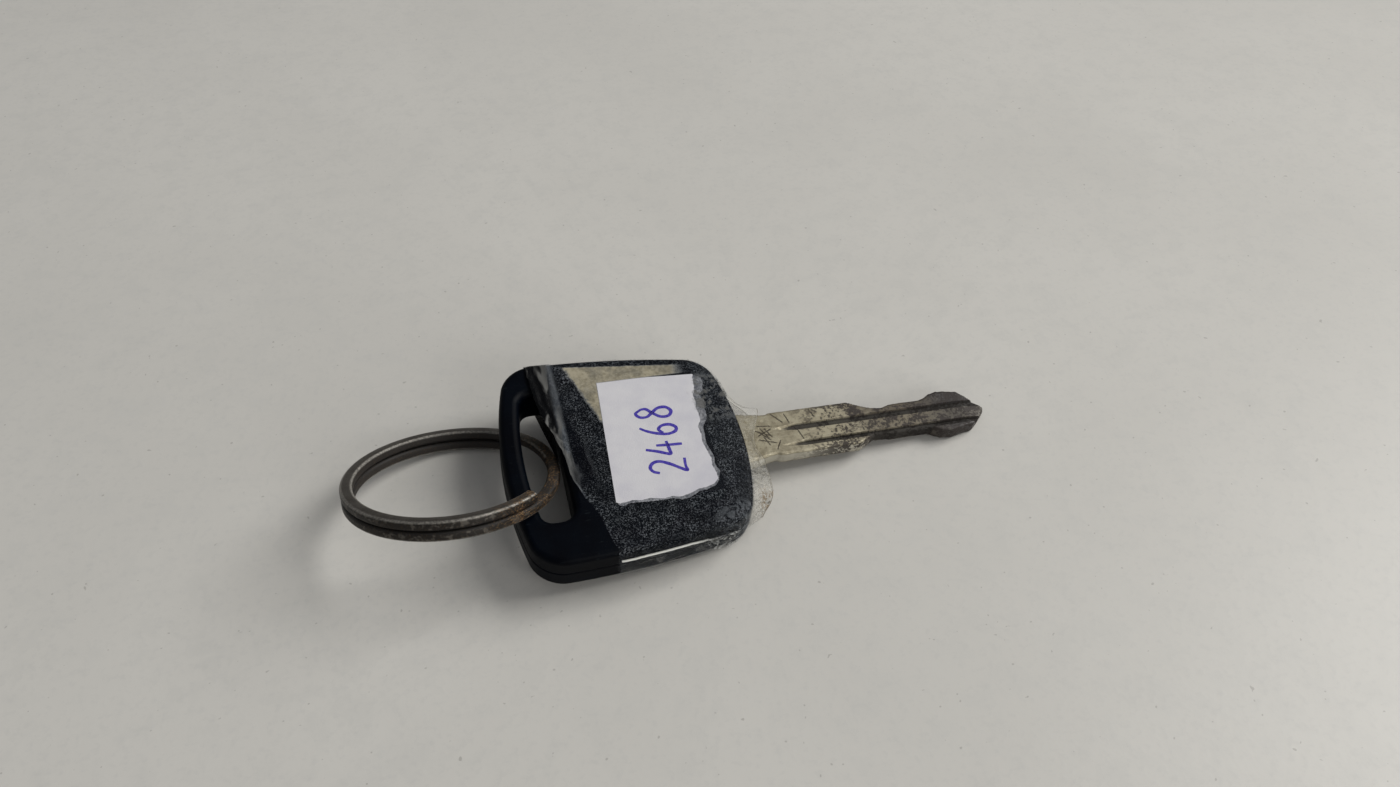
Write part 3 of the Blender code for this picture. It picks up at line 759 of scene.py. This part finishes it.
def make_wrap(finish):
    """The tape wound round the head, from its slanting free edge to the neck side."""
    section = wrap_section()
    stations = 110
    rows, inward = [], []
    for station in range(stations + 1):
        row, inward_row = [], []
        share = (station / stations) ** 1.15
        for face, place in section:
            edge = free_edge_x(face, place)
            edge += 0.12 * ripple(0, place * 17, 3, 0.9) * (face == "top")
            x = edge + (NECK_END_X - edge) * share
            depth = x - edge
            flat = wrap_point(face, place, x, FILM_LIFT)
            lift = 0.03 * ripple(x, flat.y, flat.z, 0.7)
            if face == "top":
                lift = (film_lift(x, flat.y, depth) - FILM_GAP) * (1 - eased(abs(place), 0.9, 1.0))
            row.append(wrap_point(face, place, x, FILM_GAP + lift))
            inward_row.append(depth)
        rows.append(row)
        inward.append(inward_row)
    mesh = grid_mesh("tape_wrap_film", rows, closed=True, marks={"inward": inward})
    sheet = loose_object("tape_wrap_film", mesh)
    skin = sheet.modifiers.new("thickness inward", "SOLIDIFY")
    skin.thickness, skin.offset = FILM_THICKNESS, -1
    wrap = piece("tape_wrap_film", made_with(sheet), finish, smooth_degrees=60)
    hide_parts("tape_wrap")


STRIP_START, STRIP_LENGTH = -23.1, 18.4


def make_side_strip(finish):
    """The strip along the near wall: its upper edge is folded outward into a lip, painted bright as a highlight by
    its finish.
    """
    profile = (
        (0.9, 0.42), (1.5, 0.44), (2.2, 0.46), (3.0, 0.46), (3.8, 0.48), (4.4, 0.52), (4.75, 0.62),
        (4.95, 0.8), (5.08, 0.86), (5.14, 0.74), (5.02, 0.6), (4.9, 0.46), (4.7, 0.34),
    )
    rows = []
    for step in range(121):
        x = STRIP_START + STRIP_LENGTH * step / 120
        loose = eased(x, -12.5, -6.5)
        row = []
        for k, (z, gap) in enumerate(profile):
            fold = 0.10 * ripple(x, z, 2, 0.5) + 0.04 * ripple(x, z, 6, 1.8)
            crush = loose * 0.34 * abs(ripple(x, z * 1.4, 9, 0.42, 4))
            out = max(gap + 0.4 * fold * (z > 4) + 0.05 * fold + crush, 0.34)
            drop = 0.45 * loose * eased(z, 3.5, 5.1) + 0.12 * fold
            row.append((x, -half_width(x, 0) - out, z - drop))
        rows.append(row)
    back = [[(x, y + FOLDED_THICKNESS, z) for x, y, z in row[::-1]] for row in rows]
    mesh = solid_mesh("tape_fold", [row + behind for row, behind in zip(rows, back)])
    strip = piece("tape_fold", mesh, finish, smooth_degrees=60)
    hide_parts("tape_side_strip")


COLLAR_EDGE = (  # mouth of the film past the head: across the blade, and distance from the head
    (-15.1, -1.8), (-14.3, -0.4), (-13.4, 0.3), (-12.1, 1.5), (-11.0, 2.2), (-9.9, 2.5), (-8.4, 2.7),
    (-7.0, 2.75), (-5.6, 2.5), (-4.7, 2.4), (-2.6, 1.7), (-0.4, 1.9), (2.0, 2.9), (4.0, 3.9), (5.0, 4.2),
    (5.9, 3.0), (6.7, 2.1), (7.8, 1.2), (9.0, 0.5), (10.4, -0.25), (11.4, -0.75), (13.0, -1.5),
    (14.6, -2.2),
)
NECK_GAP = 0.3  # between the blade's faces and the film


def head_edge_x(y):
    return -NECK_SIDE_BOW * (y / HEAD_NECK_HALF) ** 2


def collar_point(angle, share, inset):
    """A point on the collar: round it by angle, and from the head at 0 to its mouth at 1."""
    y_low, y_high = COLLAR_EDGE[0][0], COLLAR_EDGE[-1][0]
    y = (y_low + y_high) / 2 + ((y_high - y_low) / 2 - inset) * math.cos(angle)
    start = head_edge_x(y) - 0.25
    mouth = max(along_table(COLLAR_EDGE, y), start + 0.6)
    x = start + (mouth - start) * share
    beside = eased(abs(y), 5.0, 6.8)
    blade = BLADE_HALF_THICK + NECK_GAP
    seam = blade + (0.28 - blade) * beside
    rim = MIDDLE + 0.1
    fall = eased(share, 0.0, 1.0) * 0.55 + 0.45 * share
    half = rim + (seam - rim) * fall - inset
    crease = 0.16 * ripple(x * 0.5, y, 3 * math.sin(angle), 0.55, 4)
    crease += 0.07 * ripple(x, y, 5 * math.sin(angle), 1.7, 3)
    crease += 0.12 * math.sin(y * 2.1 + 1.6 * math.sin(x)) * beside
    half += crease * math.sin(math.pi * min(share * 1.1, 1)) * (0.5 + 0.5 * beside)
    half = max(half, (seam if beside < 0.5 else 0.12) - inset)
    flank = math.sqrt(max(1 - abs(math.cos(angle)) ** 12, 0))
    return Vector((x, y, MIDDLE + math.copysign(half * flank, math.sin(angle))))


def make_collar(finish):
    """The tape's overhang, gathered round the blade's neck."""
    stations, around = 22, 180
    angles = [2 * math.pi * (k + 0.5) / around for k in range(around)]
    shares = [station / stations for station in range(stations + 1)]
    outer, inner = (
        [[collar_point(angle, share, inset) for angle in angles] for share in shares]
        for inset in (0.0, FOLDED_THICKNESS)
    )
    reach = [[share] * around for share in shares]
    rows = outer + inner[::-1] + [outer[0]]
    mesh = grid_mesh("tape_neck_film", rows, closed=True, marks={"reach": reach + reach[::-1] + [reach[0]]})
    mesh = mesh_of(joined(mesh, 0.0005), "tape_neck_film")
    collar = piece("tape_neck_film", mesh, finish, smooth_degrees=60)
    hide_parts("tape_neck_collar")


# --- finishes

def plastic_finish():
    """Black moulded plastic, with fine moulded grain and a few scuffs."""
    finish = Finish("black_plastic")
    grain = finish.noise(5.0, 3.0, 0.6)
    cloud = finish.noise(0.18, 3.0, 0.55)
    scuffs = finish.noise(1.1, 5.0, 0.7, stretch=(0.35, 3.0, 1.0)).fade(0.62, 0.74)
    dust = finish.noise(7.0, 2.0, 0.5).fade(0.70, 0.80) * cloud.fade(0.45, 0.65)
    base = finish.blend(cloud.fade(0.3, 0.7), (3, 7, 14), (7, 13, 20))
    base = finish.blend(scuffs * 0.35, base, (52, 60, 64))
    base = finish.blend(dust * 0.30, base, (95, 98, 96))
    return finish.cover(
        Base_Color=base,
        Roughness=0.34 + grain * 0.12 + scuffs * 0.12 + cloud * 0.08,
        Specular_IOR_Level=0.06,
        Normal=finish.bump(grain + scuffs * 0.6, 0.02),
    )


SCRATCH_HALF = 0.16
SCRATCHES = (  # where each starts and ends on the blade: most are crossed ones on the neck
    ((9.2, 1.0), (9.9, -1.9)), ((3.0, 0.6), (4.6, -1.3)), ((2.7, -0.2), (5.1, 0.9)),
    ((3.4, 1.3), (4.4, -0.9)), ((4.1, 1.2), (4.9, -0.6)), ((2.5, 0.9), (5.0, -0.5)),
    ((6.1, -1.5), (5.1, -3.2)), ((8.1, 3.6), (8.5, 1.6)), ((2.6, -0.9), (5.3, -1.9)),
    ((3.6, -0.4), (4.2, -2.2)), ((2.9, 1.8), (5.2, 1.5)), ((12.4, 3.9), (12.9, 2.1)),
)


def blade_finish():
    """Worn nickel silver: cream by the head, and dark with old dirt in the grooves and towards the tip."""
    finish = Finish("worn_nickel_silver")
    cloud = finish.noise(0.55, 4.0, 0.6)
    fine = finish.noise(4.5, 4.0, 0.65)
    speck = finish.noise(2.2, 5.0, 0.7)
    depth = BLADE_HALF_THICK - abs(finish.z - MIDDLE)
    groove = 0.0
    for start, across, width in GROOVES:
        inside = abs(finish.y - across).fade(width * 0.62, width * 0.36) * finish.x.fade(start, start + 3.0)
        groove = inside.most(groove)
    hollow = (depth + (fine - 0.5) * 0.30).fade(0.12, 0.38) * groove
    wall = (depth + (fine - 0.5) * 0.10).fade(0.25, 0.5) * (1 - groove)
    along = finish.x + (cloud - 0.5) * 12
    flank = 0.75 + abs(finish.y + 1.0 + (cloud - 0.5) * 1.5).fade(1.3, 2.2) * 0.25
    dull = along.fade(15.0, 22.0) * flank
    tip = along.fade(26.0, 36.0) * flank
    blotch = (speck + (cloud - 0.5) * 0.9).fade(0.45, 0.55)
    edge_dirt = abs(finish.y).fade(2.6, 4.1) * 0.12
    stain = (speck + (cloud - 0.5) * 0.9 + edge_dirt).fade(0.53, 0.60) * finish.x.fade(6, 16)
    stain = stain.most(blotch * finish.x.fade(15, 22))
    freckle = speck.fade(0.60, 0.66) * finish.x.fade(18, 4) * 0.5
    draw = finish.noise(1.4, 3.0, 0.6, stretch=(0.15, 5.0, 2.0)).fade(0.5, 0.75)
    cracks = finish.band((5.9, 3.9), (7.4, 1.9), SCRATCH_HALF, (fine - 0.5) * 0.5)
    for start, end in SCRATCHES:
        cracks = cracks.most(finish.band(start, end, SCRATCH_HALF, (fine - 0.5) * 0.4))
    base = finish.blend(cloud.fade(0.3, 0.7), (160, 153, 132), (128, 120, 100))
    base = finish.blend(draw * 0.3, base, (194, 189, 170))
    base = finish.blend(wall * (1 - tip) * 0.5, base, (206, 203, 192))
    base = finish.blend(dull * 0.82, base, (66, 57, 50))
    base = finish.blend(tip * 0.85, base, (42, 40, 43))
    base = finish.blend(freckle, base, (104, 92, 74))
    base = finish.blend(stain * 0.9, base, (38, 29, 24))
    base = finish.blend(cracks * 0.85, base, (48, 41, 34))
    base = finish.blend(hollow * (0.84 + fine * 0.16), base, (30, 26, 22))
    rough = 0.36 + hollow * 0.30 + stain * 0.2 + fine * 0.12 - draw * 0.06
    return finish.cover(
        Base_Color=base,
        Metallic=0.45 - (hollow * 0.4).most(stain * 0.42).most(tip * 0.2),
        Roughness=rough,
        Normal=finish.bump(fine * 0.5 + speck * 0.5 - cracks * 0.8 - stain * 0.4, 0.06),
    )


def ring_finish():
    """Dull plated steel: bright on its corners, with painted shade on its inside and between the turns, rusted by
    the slot.
    """
    finish = Finish("worn_steel_wire")
    fine = finish.noise(3.5, 4.0, 0.65)
    cloud = finish.noise(0.35, 3.0, 0.6)
    pits = finish.noise(4.2, 5.0, 0.75)
    turn = finish.attribute("turn")
    outside = finish.attribute("outside")
    other = finish.attribute("other")
    worn = (abs(outside) * other * -1 + (pits - 0.5) * 0.3).fade(0.46, 0.76)
    # Painted shade: the ring's inner face made near-black.
    inner = (outside * -1 + (fine - 0.5) * 0.3).fade(0.52, 0.86)
    outer = (outside + (fine - 0.5) * 0.3).fade(0.60, 0.9)
    # Painted shade: the faces of the two turns that face each other, dark where shade falls in the gap.
    between = (other + (fine - 0.5) * 0.25).fade(0.45, 0.8)
    streak = finish.noise(1.1, 4.0, 0.65).fade(0.5, 0.64)
    rusty = turn.fade(-80, -54) * turn.fade(60, 10)
    rusty = rusty.most(turn.fade(282, 306))
    rust = (pits + (cloud - 0.5) * 0.3).fade(0.50, 0.58) * (0.08 + rusty * 0.80)
    base = finish.blend(cloud.fade(0.3, 0.7), (90, 86, 80), (68, 64, 60))
    base = finish.blend(fine.fade(0.55, 0.75) * 0.4, base, (84, 78, 71))
    base = finish.blend(outer * 0.85, base, finish.blend(streak, (26, 23, 21), (84, 80, 75)))
    # Painted shade on the inner face.
    base = finish.blend(inner * 0.9, base, (27, 22, 19))
    # Painted shade in the gap between the turns.
    base = finish.blend(between * 0.92, base, (17, 13, 11))
    base = finish.blend(worn * (0.25 + fine.fade(0.4, 0.6) * 0.35), base, (188, 184, 176))
    rust_colour = finish.blend(fine.fade(0.45, 0.58), (50, 36, 27), (156, 124, 86))
    base = finish.blend(rust, base, rust_colour)
    # Dulls the metal where the inside and the gap between the turns carry painted shade, and on the dirty outer
    # face.
    dirt = (inner * 0.9).most(between).most(outer * 0.35)
    return finish.cover(
        Base_Color=base,
        Metallic=0.9 - (rust * 0.7).most(dirt * 0.85),
        Roughness=0.32 + fine * 0.16 + rust * 0.3 + dirt * 0.25 - worn * 0.06,
        Normal=finish.bump(fine * 0.35 + pits * 0.3 + rust * 0.8, 0.05),
    )


def chip_finish():
    finish = Finish("chip_ceramic")
    grain = finish.noise(6.0, 3.0, 0.6)
    base = finish.blend(grain, (30, 30, 32), (46, 45, 44))
    return finish.cover(Base_Color=base, Roughness=0.55 + grain * 0.15, Normal=finish.bump(grain, 0.02))


def paper_finish():
    """White writing paper, with faint fibres and smudges."""
    finish = Finish("white_paper")
    fibres = finish.noise(6.0, 4.0, 0.7, stretch=(1.0, 0.45, 1.0))
    smudge = finish.noise(0.22, 3.0, 0.55)
    base = finish.blend(smudge.fade(0.3, 0.75), (204, 203, 207), (191, 190, 198))
    base = finish.blend(fibres.fade(0.62, 0.8) * 0.25, base, (176, 174, 180))
    return finish.cover(
        Base_Color=base, Roughness=0.75, Specular_IOR_Level=0.2, Normal=finish.bump(fibres, 0.03)
    )


def torn_paper_finish():
    """The thin layer that a tear leaves: grey where the dark plastic shows through its fibres."""
    finish = Finish("torn_paper")
    fibres = finish.noise(3.2, 5.0, 0.75)
    patches = finish.noise(0.9, 3.0, 0.6)
    thin = (fibres * 0.6 + patches * 0.4).fade(0.42, 0.6)
    base = finish.blend(thin, (84, 86, 92), (142, 143, 148))
    relief = finish.bump(fibres, 0.08)
    return finish.cover(Base_Color=base, Roughness=0.8, Specular_IOR_Level=0.15, Normal=relief)


def ink_finish():
    finish = Finish("blue_violet_ink")
    flow = finish.noise(3.0, 3.0, 0.6)
    base = finish.blend(flow.fade(0.3, 0.7), (44, 34, 138), (84, 72, 168))
    return finish.cover(Base_Color=base, Roughness=0.55 + flow * 0.1, Specular_IOR_Level=0.3)


def wrap_film_finish():
    """Clear tape on the head: fine bubbles where it sticks, milky folds, and dust caught beside the label."""
    finish = Finish("clear_tape_on_head")
    x, y, z = finish.x, finish.y, finish.z
    inward = finish.attribute("inward")
    cloud = finish.noise(0.30, 4.0, 0.6)
    swirl = finish.noise(0.55, 5.0, 0.62, distortion=1.2)
    fine = finish.noise(4.6, 2.0, 0.55)
    grit = finish.noise(1.7, 5.0, 0.7)
    beside_label = finish.left_of((-22.2, -10.1), (-20.7, 13.5)) * -1
    on_label = beside_label.least(13.0 - y).least(y + 10.4).least(-5.6 - x).fade(-0.15, 0.15)
    top = z.fade(5.6, 6.4)
    # Flap: the loose part by the free edge, dark and drawn into long folds
    flap = inward.fade(4.6, 2.8) * y.fade(-9, -5)
    bubbles = fine.fade(0.51, 0.63) * (0.45 + cloud.fade(0.38, 0.62) * 0.55)
    haze = (0.004 + bubbles * 0.14) * (1 - flap * 0.8) + x.fade(-6.5, -4.5) * 0.015
    drawn = finish.noise(0.34, 2.5, 0.5, stretch=(1.5, 0.42, 1.0), distortion=0.6)
    folds = drawn.fade(0.50, 0.60) * inward.fade(5.5, 0.6) * y.fade(-9, -4) * top
    # Painted shade on the film where it bridges the ring's slot, on its top and underneath: a near-black sheet
    # standing in for the shadow down in the slot
    slot_shade = x.fade(SLOT_NECK_X + 1.6, SLOT_NECK_X - 0.2) * (top * y.fade(-9, -5)).most(z.fade(1.5, 0.5))
    # Painted highlight: a lighter line along the tape's free edge.
    edge_highlight = inward.fade(0.40, 0.06) * y.fade(-9, -6)
    milky = (swirl + (cloud - 0.5) * 0.6).fade(0.50, 0.60) * x.fade(-7.4, -5.6)
    milky = milky * y.fade(1.0, 5.0) * y.fade(13.5, 10.5)
    # Crumpled film at the near corner by the neck: lighter swirls that are partly its crumples and partly painted
    # highlights.
    corner = swirl.fade(0.48, 0.58) * x.fade(-11, -4) * y.fade(-11.5, -14.5)
    diagonal = finish.left_of((-25.6, 17.4), (-21.0, 4.0)) + (grit - 0.5) * 1.4
    dusty = diagonal.fade(-0.3, 0.4) * y.fade(2.5, 5.5) * (x + (cloud - 0.5) * 3).fade(-6.0, -9.0)
    dusty = dusty * (finish.left_of((-8.5, 15.0), (-25.5, 17.1)) + (grit - 0.5) * 0.5).fade(-0.1, 0.2)
    dust_show = dusty * (1 - on_label) * top * (0.82 + cloud.fade(0.35, 0.6) * 0.18)
    base = finish.blend(swirl.fade(0.4, 0.6), (112, 118, 126), (140, 146, 152))
    base = finish.blend(bubbles * 0.6, base, (196, 203, 211))
    # Painted shade: the film over the ring's slot turns near-black.
    base = finish.blend(slot_shade, base, (15, 16, 18))
    base = finish.blend((folds * 0.8).most(milky), base, (120, 120, 118))
    mottle = (grit * 0.5 + cloud * 0.5).fade(0.38, 0.6)
    dust_colour = finish.blend(mottle, (124, 117, 97), (162, 155, 136))
    base = finish.blend(dust_show, base, dust_colour)
    share = (haze * (1 - on_label) + on_label * 0.015).most(folds * 0.12)
    share = share.most(milky * 0.34).most(corner * 0.16)
    share = share.most(slot_shade * (0.72 + cloud * 0.2)).most(edge_highlight * 0.34).most(dust_show * 0.94).least(0.95)
    return finish.cover(
        Base_Color=base,
        Alpha=share,
        Roughness=0.26 + cloud * 0.15 + dusty * 0.3,
        Specular_IOR_Level=0.12,
        Normal=finish.bump(swirl * 0.6 + grit * 0.25 + fine * 0.1, 0.14),
    )


def fold_film_finish():
    """The folded strip on the near wall: smoky over the plastic, with a painted highlight along the doubled lip.
    """
    finish = Finish("clear_tape_fold")
    x, z = finish.x, finish.z
    streak = finish.noise(0.9, 4.0, 0.6, stretch=(0.35, 1.0, 2.6), distortion=0.8)
    fine = finish.noise(3.6, 3.0, 0.6)
    crumple = finish.noise(0.8, 5.0, 0.65, distortion=1.4)
    # Painted highlight along the crest of the folded lip.
    lip = (z + (streak - 0.5) * 0.25).fade(4.72, 4.92) * x.fade(-7.0, -13.0)
    # Crumpled film towards the neck: whitish crumples, with painted highlights on them.
    crushed = crumple.fade(0.50, 0.60) * x.fade(-13.0, -8.0)
    shine = streak.fade(0.52, 0.66)
    base = finish.blend(shine, (84, 86, 88), (140, 140, 136))
    # Crumples painted whitish, partly as highlights.
    base = finish.blend(crushed, base, (196, 198, 196))
    # Painted highlight on the lip.
    base = finish.blend(lip, base, (224, 224, 218))
    share = (0.05 + shine * 0.18 + fine * 0.05).most(lip * 0.8).most(crushed * 0.42)
    return finish.cover(
        Base_Color=base,
        Alpha=share,
        Roughness=0.22 + fine * 0.12,
        Specular_IOR_Level=0.4,
        Normal=finish.bump(streak + crumple * 0.8 + fine * 0.3, 0.14),
    )


def neck_film_finish():
    """Loose film round the neck: clear and creased, with brown dirt at the near corner."""
    finish = Finish("clear_tape_at_neck")
    x, y = finish.x, finish.y
    reach = finish.attribute("reach")
    crease = finish.noise(0.9, 5.0, 0.65, stretch=(0.6, 1.6, 1.0), distortion=1.0)
    fine = finish.noise(3.8, 4.0, 0.6)
    grit = finish.noise(1.5, 5.0, 0.72)
    # Painted highlights: thin bright lines along the creases.
    lines = abs(crease - 0.5).fade(0.030, 0.004)
    dirt_place = y.fade(-8.5, -11.5) * x.fade(-1.6, 0.4)
    dirt = grit.fade(0.47, 0.58) * (0.10 + dirt_place * 0.85)
    rim = reach.fade(0.93, 0.99)
    far_web = y.fade(4.5, 7.0)
    over_neck = y.fade(-5.5, -4.0) * y.fade(6.0, 4.5)
    base = finish.blend(crease.fade(0.4, 0.6), (182, 180, 170), (214, 212, 204))
    base = finish.blend(rim, base, (120, 116, 104))
    base = finish.blend(dirt, base, (112, 92, 64))
    share = (0.04 + far_web * 0.12 + crease.fade(0.50, 0.66) * 0.14) * (1 - over_neck * 0.75)
    # The crease lines show as painted highlights.
    share = share.most(lines * (0.34 - over_neck * 0.14)).most(rim * 0.42).most(dirt * 0.7)
    return finish.cover(
        Base_Color=base,
        Alpha=share,
        Roughness=0.18 + fine * 0.12,
        Specular_IOR_Level=0.45,
        Normal=finish.bump(crease + fine * 0.25, 0.16),
    )


def table_finish():
    """A pale lacquered table top with faint mottling and specks of dust."""
    finish = Finish("pale_table")
    cloud = finish.noise(0.012, 4.0, 0.55)
    grain = finish.noise(0.9, 3.0, 0.6)
    mottle = finish.noise(0.22, 4.0, 0.65)
    speck = finish.noise(1.1, 1.0, 0.4).fade(0.765, 0.80)
    base = finish.blend(cloud.fade(0.3, 0.7), (205, 203, 198), (199, 197, 192))
    base = finish.blend(mottle.fade(0.45, 0.65) * 0.35, base, (194, 193, 189))
    base = finish.blend(grain.fade(0.5, 0.7) * 0.18, base, (180, 180, 178))
    base = finish.blend(speck * 0.4, base, (128, 125, 120))
    return finish.cover(
        Base_Color=base,
        Roughness=0.32 + grain * 0.06,
        Specular_IOR_Level=0.3,
        Normal=finish.bump(grain + mottle, 0.012),
    )


# --- table, light and camera

def make_table():
    ends = (-1.6, 0, 1.6)
    rows = [[(x, y, 0) for x in ends] for y in ends]
    mesh = grid_mesh("table_top", rows)
    if mesh.polygons[0].normal.z < 0:
        mesh.flip_normals()
    table = loose_object("table_top", mesh)
    mesh.materials.append(table_finish())


def make_light():
    world = bpy.data.worlds.new("soft room")
    world.use_nodes = True
    background = world.node_tree.nodes["Background"]
    background.inputs["Color"].default_value = (0.97, 0.98, 1.0, 1)
    background.inputs["Strength"].default_value = 0.22
    bpy.context.scene.world = world
    for name, place, size, power in (
        ("window side", (1.5, 0.20, 1.25), 1.2, 33.0),
        ("room side", (0.8, -1.6, 0.75), 1.0, 12.0),
    ):
        lamp = bpy.data.lights.new(name, "AREA")
        lamp.shape = "SQUARE"
        lamp.size = size
        lamp.energy = power
        lamp.color = (1.0, 0.985, 0.95)
        obj = loose_object(name, lamp)
        obj.location = place
        obj.rotation_euler = (-Vector(place)).to_track_quat("-Z", "Y").to_euler()


def make_camera():
    """The camera's place and aim, told in the key's own frame."""
    camera = bpy.data.cameras.new("camera")
    camera.sensor_width = 36.0
    camera.lens = 29.14
    camera.clip_start = 0.005
    obj = loose_object("camera", camera)
    right, up, back = (0.9647, -0.2447, 0.0969), (0.1264, 0.7537, 0.6449), (-0.2309, -0.6099, 0.7581)
    turn = Matrix((right, up, back)).transposed().to_4x4()
    obj.matrix_world = KEY @ Matrix.Translation(Vector((-46.6, -102.1, 143.7)) * MM) @ turn
    bpy.context.scene.camera = obj


make_camera()
make_light()
make_table()
bpy.context.scene.view_settings.view_transform = "Standard"
make_head(plastic_finish())
make_blade(blade_finish())
make_ring(ring_finish())
make_label(paper_finish(), torn_paper_finish())
make_number(ink_finish())
make_wrap(wrap_film_finish())
make_side_strip(fold_film_finish())
make_collar(neck_film_finish())
chip = frame["nodes"]["transponder_chip"]
chip.data.materials.clear()
chip.data.materials.append(chip_finish())
